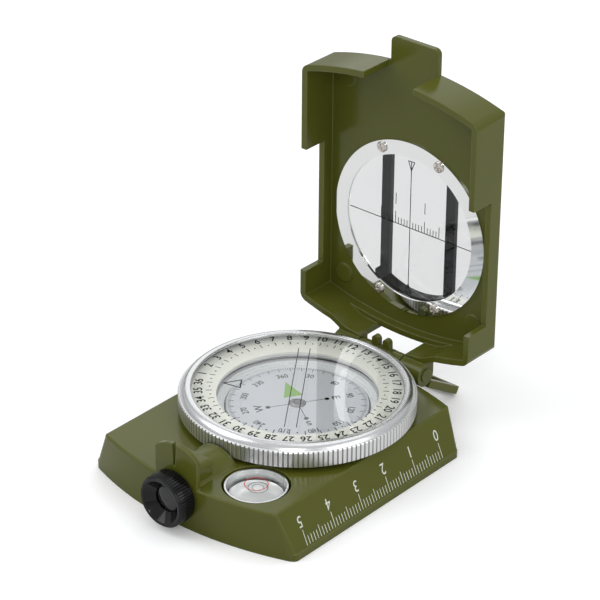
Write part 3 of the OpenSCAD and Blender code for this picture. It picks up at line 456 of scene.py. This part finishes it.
dial_glass = clear_pane("dial_glass", (0.985, 0.988, 0.988), 1.52)
window_clear = clear_pane("window_clear", (0.82, 0.82, 0.82), 1.5)
capsule_clear = clear_pane("capsule_clear", (0.985, 0.99, 0.99), 1.33)
lens_clear = clear_pane("lens_clear", (0.35, 0.35, 0.36), 1.6)

FINISHES = {
    olive_enamel: ["base_housing", "bottom_plate", "lid_shell", "thumb_loop", "hinge_pin"],
    black_moulding: ["focus_ring", "lens_cell", "lens_retainer", "window_frame", "hinge_washers"],
    black_rubber: ["capsule_seal", "window_gasket"],
    pale_seal: ["bezel_gasket"],
    turned_aluminium: ["bezel_ring", "glass_ring"],
    bright_plate: ["window_ring"],
    satin_silver: ["level_cup", "capsule_ring"],
    cap_grey: ["jewel_cap"],
    milky_plastic: ["capsule_cup"],
    zinc_steel: ["window_screws", "bottom_screws", "pivot_post", "bezel_spring"],
    magnet_steel: ["card_magnets"],
    turned_brass: ["tripod_bush"],
    luminous_cream: ["dial_ring"],
    card_grey: ["compass_card"],
    ruby: ["pivot_jewel"],
    dial_glass: ["bezel_glass"],
    window_clear: ["window_glass"],
    capsule_clear: ["capsule_cover", "level_vial", "reading_window"],
    lens_clear: ["eyepiece_lens"],
}


def dress(piece, material):
    piece.data.materials.clear()
    piece.data.materials.append(material)


for material, names in FINISHES.items():
    for node_name in names:
        dress(nodes[node_name], material)


# Modelling helpers

def only(*pieces):
    """Selects these pieces alone, the first of them active."""
    bpy.ops.object.select_all(action="DESELECT")
    for piece in pieces:
        piece.select_set(True)
    bpy.context.view_layer.objects.active = pieces[0]


def only_nothing():
    bpy.ops.object.select_all(action="DESELECT")


def placed(piece, matrix):
    """Moves the mesh of a piece, whose object stays at the origin."""
    piece.data.transform(matrix)
    return piece


def joined(name, pieces):
    """Makes one named piece of several."""
    only(*pieces)
    if len(pieces) > 1:
        bpy.ops.object.join()
    piece = bpy.context.object
    piece.name = name
    piece.data.name = name
    return piece


def copies(shape, matrices):
    """The shape's mesh at each place, and the shape itself taken away."""
    made = []
    for matrix in matrices:
        copy = bpy.data.objects.new(shape.name, shape.data.copy())
        bpy.context.scene.collection.objects.link(copy)
        copy.data.transform(matrix)
        made.append(copy)
    bpy.data.objects.remove(shape)
    return made


def ink_bar(width, length):
    """A printed stroke about the origin, its length along Y."""
    only_nothing()
    bpy.ops.mesh.primitive_cube_add(size=1, location=(0, 0, 0))
    return placed(bpy.context.object, Matrix.Diagonal((width * MM, length * MM, INK, 1)))


def ink_dot(radius):
    only_nothing()
    bpy.ops.mesh.primitive_cylinder_add(vertices=20, radius=radius * MM, depth=INK, location=(0, 0, 0))
    return bpy.context.object


def ink_ring(radius, stroke):
    only_nothing()
    bpy.ops.mesh.primitive_circle_add(vertices=96, radius=(radius + stroke / 2) * MM, fill_type="NGON")
    bpy.ops.object.mode_set(mode="EDIT")
    bpy.ops.mesh.select_all(action="SELECT")
    bpy.ops.mesh.inset(thickness=stroke * MM)
    bpy.ops.mesh.delete(type="FACE")
    bpy.ops.mesh.select_all(action="SELECT")
    bpy.ops.mesh.extrude_region_move(TRANSFORM_OT_translate={"value": (0, 0, INK)})
    bpy.ops.object.mode_set(mode="OBJECT")
    return tidy_mesh(bpy.context.object)


def tidy_mesh(piece):
    """Merges a new shell's doubled corners and turns its faces outwards."""
    only(piece)
    bpy.ops.object.mode_set(mode="EDIT")
    bpy.ops.mesh.select_all(action="SELECT")
    bpy.ops.mesh.remove_doubles(threshold=WELD)
    bpy.ops.mesh.normals_make_consistent(inside=False)
    bpy.ops.object.mode_set(mode="OBJECT")
    return piece


def ink_triangle(half_width, length, stroke=0.0):
    """A printed triangle with its tip on +Y, filled or, with a stroke, in outline."""
    only_nothing()
    bpy.ops.mesh.primitive_circle_add(vertices=3, radius=1, fill_type="NGON")
    shape = bpy.context.object
    corners = ((0, length), (-half_width, 0), (half_width, 0))
    for vertex, (x, y) in zip(shape.data.vertices, corners):
        vertex.co = (x * MM, y * MM, 0)
    bpy.ops.object.mode_set(mode="EDIT")
    bpy.ops.mesh.select_all(action="SELECT")
    if stroke:
        bpy.ops.mesh.inset(thickness=stroke * MM)
        bpy.ops.mesh.delete(type="FACE")
    bpy.ops.mesh.select_all(action="SELECT")
    bpy.ops.mesh.extrude_region_move(TRANSFORM_OT_translate={"value": (0, 0, INK)})
    bpy.ops.object.mode_set(mode="OBJECT")
    return tidy_mesh(shape)


def turned(name, section, steps):
    """A closed section of (radius, height) corners, spun round the Z axis."""
    only_nothing()
    bpy.ops.mesh.primitive_circle_add(vertices=len(section), radius=1, fill_type="NOTHING")
    piece = bpy.context.object
    for vertex, (radius, height) in zip(piece.data.vertices, section):
        vertex.co = (radius * MM, 0, height * MM)
    bpy.ops.object.mode_set(mode="EDIT")
    bpy.ops.mesh.select_all(action="SELECT")
    bpy.ops.mesh.spin(steps=steps, angle=2 * math.pi, center=(0, 0, 0), axis=(0, 0, 1))
    bpy.ops.object.mode_set(mode="OBJECT")
    piece.name = name
    piece.data.name = name
    return tidy_mesh(piece)


def press_grooves(piece, radius, steps, each, depth):
    """Presses every so many rows of the rim at a radius in towards the axis."""
    only(piece)
    bpy.ops.object.mode_set(mode="EDIT")
    bpy.ops.mesh.select_mode(type="VERT")
    bpy.ops.mesh.select_all(action="DESELECT")
    bpy.ops.object.mode_set(mode="OBJECT")
    for vertex in piece.data.vertices:
        row = round(math.atan2(vertex.co.y, vertex.co.x) / (2 * math.pi) * steps)
        at_rim = math.hypot(vertex.co.x, vertex.co.y) > (radius - 0.01) * MM
        vertex.select = at_rim and row % each == 0
    share = (radius - depth) / radius
    bpy.ops.object.mode_set(mode="EDIT")
    bpy.ops.transform.resize(value=(share, share, 1), center_override=(0, 0, 0))
    bpy.ops.object.mode_set(mode="OBJECT")
    return piece


def softened(piece, angle=35):
    """Shades a piece smooth but for edges sharper than an angle in degrees."""
    only(piece)
    bpy.ops.object.shade_smooth_by_angle(angle=math.radians(angle))
    return piece


def crossed_screw(radius, head, shank_radius, shank):
    """A screw standing on the origin with its domed head up and a cross cut in it."""
    section = [(0, -shank), (shank_radius, -shank), (shank_radius, 0), (radius, 0)]
    section += [(across * radius, up * head) for across, up in DOME]
    screw = turned("screw", section, steps=32)
    width, length, thickness = CROSS_BAR
    for turn in (0, 90):
        slot_bar = ink_bar(width * radius, length * radius)
        placed(slot_bar, Matrix.Diagonal((1, 1, thickness * head * MM / INK, 1)))
        spin = Matrix.Rotation(math.radians(turn + CROSS_TURN), 4, "Z")
        placed(slot_bar, Matrix.Translation((0, 0, head * MM)) @ spin)
        only(screw)
        cutter = screw.modifiers.new("cross", "BOOLEAN")
        cutter.object = slot_bar
        bpy.ops.object.modifier_apply(modifier=cutter.name)
        bpy.data.objects.remove(slot_bar)
    return screw


def lettering(body, height, narrow=1.0, bold=0.0):
    """A printed word or number about the origin, of a given height, tops on +Y."""
    only_nothing()
    bpy.ops.object.text_add(location=(0, 0, 0))
    text = bpy.context.object
    text.data.body = body
    text.data.size = 1
    text.data.resolution_u = 4
    text.data.extrude = 0.5
    text.data.offset = bold
    bpy.ops.object.convert(target="MESH")
    text = bpy.context.object
    xs = [v.co.x for v in text.data.vertices]
    ys = [v.co.y for v in text.data.vertices]
    middle = Vector(((min(xs) + max(xs)) / 2, (min(ys) + max(ys)) / 2, 0))
    scale = height * MM / (max(ys) - min(ys))
    shrink = Matrix.Diagonal((scale * narrow, scale, INK, 1))
    return placed(text, shrink @ Matrix.Translation(-middle))


def bearing(angle, radius, height):
    """Place on a dial: bearing clockwise from +Y, with +Y of the print pointing outwards."""
    turn = Matrix.Rotation(math.radians(-angle), 4, "Z")
    return Matrix.Translation((0, 0, height * MM)) @ turn @ Matrix.Translation((0, radius * MM, 0))


def printed(name, body, material, pieces):
    """Joins the pieces and has them ride on a body with a material."""
    piece = joined(name, pieces)
    dress(piece, material)
    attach(piece, body)
    return piece


def top_of(node_name):
    """Height of a node's top in millimetres."""
    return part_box(node_name)[1].z / MM


# The dial print on the glass

def dial_print():
    z = top_of("bezel_glass") + INK / MM
    numbers = []
    for n in range(1, DIAL_NUMBERS + 1):
        place = bearing(DIAL_NORTH + DIAL_STEP * n, NUMBER_RADIUS, z)
        numbers.append(placed(lettering(str(n), NUMBER_HEIGHT, NUMBER_NARROW, BOLD), place))
    printed("dial_numbers", "bezel", print_black, numbers)
    middle = sum(TICK_RADII) / 2
    turns = [DIAL_NORTH + DIAL_STEP * n for n in range(DIAL_NUMBERS)]
    tick = ink_bar(TICK_WIDTH, TICK_RADII[1] - TICK_RADII[0])
    ticks = copies(tick, [bearing(turn, middle, z) for turn in turns])
    dots = copies(ink_dot(DOT_SIZE), [bearing(turn + DIAL_STEP / 2, DOT_RADIUS, z) for turn in turns])
    printed("dial_ticks", "bezel", print_black, ticks + dots)
    arrow = ink_triangle(ARROW_HALF_WIDTH, ARROW_TIP - ARROW_BASE, ARROW_STROKE)
    placed(arrow, bearing(DIAL_NORTH, ARROW_BASE, z))
    across = bearing(DIAL_NORTH + 90, 0, z)
    asides = [Matrix.Translation((side * HAIRLINE_OFFSET * MM, 0, 0)) for side in (-1, 1)]
    lines = copies(ink_bar(HAIRLINE_WIDTH, 2 * HAIRLINE_HALF), [across @ aside for aside in asides])
    printed("dial_arrow_and_hairlines", "bezel", print_black, [arrow] + lines)


dial_print()


# The card print

def card_print():
    z = top_of("compass_card") + INK / MM
    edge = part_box("compass_card")[1].x / MM
    black = []
    for degree in range(0, 360, CARD_TICK_DEGREES):
        length, width = CARD_LONG_TICK if degree % 10 == 0 else CARD_SHORT_TICK
        place = bearing(CARD_NORTH + degree, edge - CARD_MARGIN - length / 2, z)
        black += [placed(ink_bar(width, length), place)]
    for degree in range(30, 361, 30):
        place = bearing(CARD_NORTH + degree, CARD_NUMBER_RADIUS, z)
        black += [placed(lettering(str(degree), CARD_NUMBER_HEIGHT, CARD_NARROW, BOLD), place)]
    for angle, letter in ((90, "E"), (180, "S"), (270, "W")):
        turn = CARD_NORTH + angle
        line = ink_bar(QUARTER_WIDTH, QUARTER_DOT - QUARTER_START)
        black += [placed(line, bearing(turn, (QUARTER_DOT + QUARTER_START) / 2, z))]
        black += [placed(ink_dot(QUARTER_DOT_SIZE), bearing(turn, QUARTER_DOT, z))]
        text = lettering(letter, QUARTER_HEIGHT, QUARTER_WIDE, BOLD)
        black += [placed(text, bearing(turn, QUARTER_LETTER, z))]
    cap_top = top_of("jewel_cap") + INK / MM
    for radius, height in ((CAP_RING_RADIUS, cap_top), (HUB_RING_RADIUS, z)):
        black += [placed(ink_ring(radius, CAP_STROKE), Matrix.Translation((0, 0, height * MM)))]
    printed("card_scale", "card", print_black, black)
    pointer = ink_triangle(POINTER_HALF_WIDTH, POINTER_TIP - POINTER_BASE)
    placed(pointer, bearing(CARD_NORTH, POINTER_BASE, z))
    printed("card_pointer", "card", print_green, [pointer])


card_print()


# The ruler on the sloped side

def ruler_print():
    up = RULER_UP.normalized()
    along = Vector((0, 1, 0))
    out = along.cross(up)
    axes = Matrix((along, up, out)).transposed().to_4x4()
    foot = RULER_FOOT * MM + out * (INK / 2)

    def on_slope(y, rise):
        return Matrix.Translation(foot + Vector((0, y * MM, 0)) + up * rise * MM) @ axes

    marks = []
    for n in range(RULER_LENGTH + 1):
        length = next(tall for step, tall in RULER_TICKS.items() if n % step == 0)
        marks.append(placed(ink_bar(RULER_STROKE, length), on_slope(RULER_ZERO_Y - n, length / 2)))
    half_turn = Matrix.Rotation(math.pi, 4, "Z")
    for n in range(0, RULER_LENGTH + 1, 10):
        digit = lettering(str(n // 10), RULER_DIGIT_HEIGHT, RULER_NARROW)
        marks.append(placed(digit, on_slope(RULER_ZERO_Y - n, RULER_DIGIT_RISE) @ half_turn))
    printed("ruler_print", "base", print_white, marks)


ruler_print()


# The sighting print on the window

def window_print():
    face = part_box("window_glass")[0].y - INK
    axes = Matrix(((1, 0, 0), (0, 0, 1), (0, -1, 0))).transposed().to_4x4()

    def on_window(x, rise, turn=0.0):
        place = Matrix.Translation((x * MM, face, (WINDOW_Z + rise) * MM))
        return place @ axes @ Matrix.Rotation(math.radians(turn), 4, "Z")

    marks = [
        placed(ink_bar(WINDOW_LINE_WIDTH, 2 * WINDOW_LINE_HALF), on_window(0, 0, 90)),
        placed(ink_bar(WINDOW_LINE_WIDTH, 2 * WINDOW_LINE_HALF - WINDOW_UPRIGHT_SHORTER), on_window(0, 0)),
    ]
    for n in range(-WINDOW_STEPS, WINDOW_STEPS + 1):
        length = WINDOW_LONG_TICK if n % 5 == 0 else WINDOW_SHORT_TICK
        marks.append(placed(ink_bar(WINDOW_TICK_WIDTH, length), on_window(n * WINDOW_STEP, length / 2)))
    for side in (-1, 1):
        marks.append(placed(ink_bar(*SIDE_MARK), on_window(side * SIDE_MARK_ASIDE, SIDE_MARK_RISE)))
    for turn, rise in ((180, SIGHT_RISE), (0, -SIGHT_RISE)):
        marks.append(placed(ink_triangle(*SIGHT_TRIANGLE), on_window(0, rise, turn)))
    printed("window_sight_print", "lid", print_black, marks)


window_print()


# The level's red circle and bubble

def level_marks():
    low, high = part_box("level_vial")
    middle = Matrix.Translation(((low.x + high.x) / 2, (low.y + high.y) / 2, 0))
    top = Matrix.Translation((0, 0, high.z + INK))
    circle = placed(ink_ring(*LEVEL_CIRCLE), middle @ top)
    printed("level_circle", "base", print_red, [circle])
    liquid = softened(turned("level_liquid", LIQUID_SECTION, steps=64))
    printed("level_liquid", "base", level_liquid, [placed(liquid, middle)])
    shift = Matrix.Translation(BUBBLE_PLACE * MM)
    # The bubble is drawn only as two dark rings, painted shade along its rim
    rings = [placed(ink_ring(*ring), middle @ shift) for ring in BUBBLE_RINGS]
    printed("level_bubble", "base", liquid_shade, rings)


level_marks()


# Turned and moulded pieces that stand for plainer CAD nodes, and a collar round the card

def bezel():
    """The knurled bezel with its turned crown, and the bright ring round the glass."""
    steps = KNURL_COUNT * ROWS_EACH
    knurled = turned("knurled_bezel", BEZEL_SECTION, steps)
    press_grooves(knurled, KNURL_RADIUS, steps, ROWS_EACH, KNURL_DEPTH)
    softened(knurled, angle=30)
    dress(knurled, knurled_aluminium)
    knurled.data.materials.append(turned_aluminium)
    knurled.data.materials.append(groove_shade)
    for face in knurled.data.polygons:
        outwards = Vector((face.center.x, face.center.y, 0)).normalized()
        if math.hypot(face.center.x, face.center.y) < CROWN_RADIUS * MM:
            face.material_index = 1
        # Groove walls get the darker aluminium, painted shade in the grooves
        elif abs(outwards.cross(face.normal).z) > GROOVE_WALL:
            face.material_index = 2
    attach(knurled, "bezel")
    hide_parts("bezel_ring")
    rim = softened(turned("polished_glass_ring", GLASS_RING_SECTION, steps=256), angle=40)
    dress(rim, turned_aluminium)
    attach(rim, "bezel")
    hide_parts("glass_ring")


bezel()


def focus_ring():
    """The ribbed ring of the eyepiece with its stepped rim and smooth cone."""
    steps = FOCUS_RIBS * ROWS_EACH
    ring = turned("ribbed_focus_ring", FOCUS_SECTION, steps)
    press_grooves(ring, FOCUS_RADIUS, steps, ROWS_EACH, FOCUS_DEPTH)
    placed(ring, Matrix.Translation((0, 0, EYE_Z * MM)) @ Matrix.Rotation(math.pi / 2, 4, "X"))
    softened(ring, angle=32)
    dress(ring, black_moulding)
    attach(ring, "focus")
    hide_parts("focus_ring")


focus_ring()


def screws():
    """The window's and the bottom plate's screws with their crosses."""
    low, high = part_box("window_screws")
    inset = WINDOW_SCREW[0] * MM
    facing_front = Matrix.Rotation(math.pi / 2, 4, "X")
    seat = low.y + WINDOW_SEAT * MM
    places = [
        Matrix.Translation((x, seat, z)) @ facing_front
        for x in (low.x + inset, high.x - inset) for z in (low.z + inset, high.z - inset)]
    piece = joined("window_cross_screws", copies(crossed_screw(*WINDOW_SCREW), places))
    dress(softened(piece), zinc_steel)
    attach(piece, "lid")
    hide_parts("window_screws")
    low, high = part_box("bottom_screws")
    inset = BOTTOM_SCREW[0] * MM
    facing_down = Matrix.Rotation(math.pi, 4, "X")
    places = [
        Matrix.Translation((x, y, BOTTOM_SEAT * MM)) @ facing_down
        for x in (low.x + inset, high.x - inset) for y in (low.y + inset, high.y - inset)]
    piece = joined("bottom_cross_screws", copies(crossed_screw(*BOTTOM_SCREW), places))
    dress(softened(piece), zinc_steel)
    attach(piece, "base")
    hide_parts("bottom_screws")


screws()


def capsule_steps():
    """The stepped clear collar round the card, under the capsule's cover."""
    collar = softened(turned("capsule_collar", COLLAR_SECTION, steps=192), angle=25)
    dress(collar, milky_plastic)
    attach(collar, "base")


capsule_steps()


# The castings with their corners rounded as they come out of the die

def corner_cutter(corner, side, end, radius, plane, sweep):
    """A bar that takes the sharp edge off the corner between a side wall and a bulging end wall.

    side and end are 1 or -1, plane turns the section's two axes into space and sweep is the bar's run.
    """
    along_side = Vector((0, -end))
    along_end = Vector((-side * math.cos(END_LEAN), end * math.sin(END_LEAN)))
    half = (math.pi / 2 + END_LEAN) / 2
    inwards = (along_side + along_end).normalized()
    centre = Vector(corner) + inwards * radius / math.sin(half)
    first = Vector(corner) + along_side * radius / math.tan(half) - centre
    last = Vector(corner) + along_end * radius / math.tan(half) - centre
    shares = [n / CORNER_STEPS for n in range(CORNER_STEPS + 1)]
    section = [centre + first.lerp(last, share).normalized() * radius for share in shares]
    section += [
        centre + last * CUTTER_REACH, Vector(corner) - inwards * radius, centre + first * CUTTER_REACH]
    only_nothing()
    bpy.ops.mesh.primitive_circle_add(vertices=len(section), radius=1, fill_type="NGON")
    cutter = bpy.context.object
    for vertex, point in zip(cutter.data.vertices, section):
        vertex.co = plane(*point) * MM
    bpy.ops.object.mode_set(mode="EDIT")
    bpy.ops.mesh.select_all(action="SELECT")
    bpy.ops.mesh.extrude_region_move(TRANSFORM_OT_translate={"value": Vector(sweep) * MM})
    bpy.ops.object.mode_set(mode="OBJECT")
    return tidy_mesh(cutter)


def cast(name, node_name, body, passes):
    """A copy of a casting whose corners are cut round, by one set of cutters after another."""
    piece = bpy.data.objects.new(name, nodes[node_name].data.copy())
    bpy.context.scene.collection.objects.link(piece)
    only(piece)
    bpy.ops.mesh.customdata_custom_splitnormals_clear()
    bpy.ops.object.mode_set(mode="EDIT")
    bpy.ops.mesh.select_all(action="SELECT")
    bpy.ops.mesh.remove_doubles(threshold=CAST_WELD)
    bpy.ops.object.mode_set(mode="OBJECT")
    for cutters in passes:
        cutter = joined("corner_cutters", cutters)
        only(piece)
        trim = piece.modifiers.new("corners", "BOOLEAN")
        trim.object = cutter
        bpy.ops.object.modifier_apply(modifier=trim.name)
        bpy.data.objects.remove(cutter)
    softened(piece, angle=32)
    level = piece.modifiers.new("flat_faces", "WEIGHTED_NORMAL")
    level.keep_sharp = True
    bpy.ops.object.modifier_apply(modifier=level.name)
    dress(piece, olive_enamel)
    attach(piece, body)
    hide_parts(node_name)


def castings():
    """The lid and the base, the base's upright lip cut before the slope over it."""
    lid, lips, slopes = [], [], []
    aside, along, rise = SLOPE_RUN
    for side in (-1, 1):
        for end in (1, -1):
            lid.append(corner_cutter(
                (side * LID_SIDE, LID_ENDS[end]), side, end, LID_RADIUS,
                lambda x, z: Vector((x, LID_START_Y, z)), LID_RUN))
            lips.append(corner_cutter(
                (side * LIP_SIDE, LIP_ENDS[end]), side, end, BASE_RADIUS,
                lambda x, y: Vector((x, y, LIP_START_Z)), LIP_RUN))
            slopes.append(corner_cutter(
                (side * SLOPE_SIDE, SLOPE_ENDS[end]), side, end, BASE_RADIUS,
                lambda x, y: Vector((x, y, SLOPE_START_Z)), (-side * aside, end * along, rise)))
    cast("lid_casting", "lid_shell", "lid", [lid])
    cast("base_casting", "base_housing", "base", [lips, slopes])


castings()


# Camera, floor and studio light

def camera():
    azimuth, elevation, roll = (math.radians(a) for a in (CAMERA_AZIMUTH, CAMERA_ELEVATION, CAMERA_ROLL))
    level = Vector((math.sin(azimuth), -math.cos(azimuth), 0))
    back = level * math.cos(elevation) + Vector((0, 0, math.sin(elevation)))
    right = Vector((math.cos(azimuth), math.sin(azimuth), 0))
    up = back.cross(right)
    rolled_right = right * math.cos(roll) + up * math.sin(roll)
    rolled_up = up * math.cos(roll) - right * math.sin(roll)
    place = back * CAMERA_DISTANCE + rolled_right * CAMERA_RIGHT + rolled_up * CAMERA_UP
    data = bpy.data.cameras.new("camera")
    data.lens = CAMERA_LENS
    data.sensor_width = SENSOR_WIDTH
    data.clip_start, data.clip_end = CAMERA_CLIP
    eye = bpy.data.objects.new("camera", data)
    bpy.context.scene.collection.objects.link(eye)
    turn = Matrix((rolled_right, rolled_up, back)).transposed().to_4x4()
    eye.matrix_world = Matrix.Translation(place * MM) @ turn
    bpy.context.scene.camera = eye


def floor():
    only_nothing()
    bpy.ops.mesh.primitive_circle_add(vertices=96, radius=FLOOR_RADIUS, fill_type="NGON", location=(0, 0, 0))
    ground = bpy.context.object
    ground.name = "floor"
    placed(ground, Matrix.Translation((0, 0, -FLOOR_DROP)))
    material, add, join, surface = shader_tree("pale_floor")
    surface.inputs["Roughness"].default_value = 0.9
    surface.inputs["Specular IOR Level"].default_value = 0.0
    path = add.new("ShaderNodeLightPath")
    tone = add.new("ShaderNodeMix")
    tone.data_type = "RGBA"
    tone.inputs["A"].default_value = (*FLOOR_TONE, 1)
    tone.inputs["B"].default_value = (*FLOOR_SEEN, 1)
    join.new(path.outputs["Is Camera Ray"], tone.inputs["Factor"])
    join.new(tone.outputs["Result"], surface.inputs["Base Color"])
    surface.inputs["Emission Color"].default_value = (1, 1, 1, 1)
    glow = add.new("ShaderNodeMath")
    glow.operation = "MULTIPLY"
    glow.inputs[1].default_value = FLOOR_GLOW
    join.new(path.outputs["Is Camera Ray"], glow.inputs[0])
    join.new(glow.outputs["Value"], surface.inputs["Emission Strength"])
    dress(ground, material)


def studio_world():
    """A white room for the camera, and for the light a bright top over a darker horizon."""
    world = bpy.data.worlds.new("studio")
    bpy.context.scene.world = world
    world.use_nodes = True
    tree = world.node_tree
    add, join = tree.nodes.new, tree.links.new
    ground = tree.nodes["Background"]
    place = add("ShaderNodeTexCoord")
    split = add("ShaderNodeSeparateXYZ")
    ramp = add("ShaderNodeValToRGB")
    for stop, (height, colour) in zip(ramp.color_ramp.elements, (HORIZON, SKY)):
        stop.position = height
        stop.color = (*colour, 1)
    path = add("ShaderNodeLightPath")
    white = add("ShaderNodeMix")
    white.data_type = "RGBA"
    white.inputs["B"].default_value = (1, 1, 1, 1)
    join(place.outputs["Generated"], split.inputs["Vector"])
    join(split.outputs["Z"], ramp.inputs["Fac"])
    join(ramp.outputs["Color"], white.inputs["A"])
    join(path.outputs["Is Camera Ray"], white.inputs["Factor"])
    join(white.outputs["Result"], ground.inputs["Color"])
    ground.inputs["Strength"].default_value = 1.0


def softbox(name, place, size, power):
    """A rectangular lamp that looks at the origin."""
    data = bpy.data.lights.new(name, "AREA")
    data.shape = "RECTANGLE"
    data.size, data.size_y = size
    data.energy = power
    lamp = bpy.data.objects.new(name, data)
    bpy.context.scene.collection.objects.link(lamp)
    place = Vector(place)
    lamp.matrix_world = Matrix.Translation(place) @ place.to_track_quat("Z", "Y").to_matrix().to_4x4()


bpy.context.scene.view_settings.view_transform = "Standard"
camera()
floor()
studio_world()
for name, (place, size, power) in SOFTBOXES.items():
    softbox(name, place, size, power)
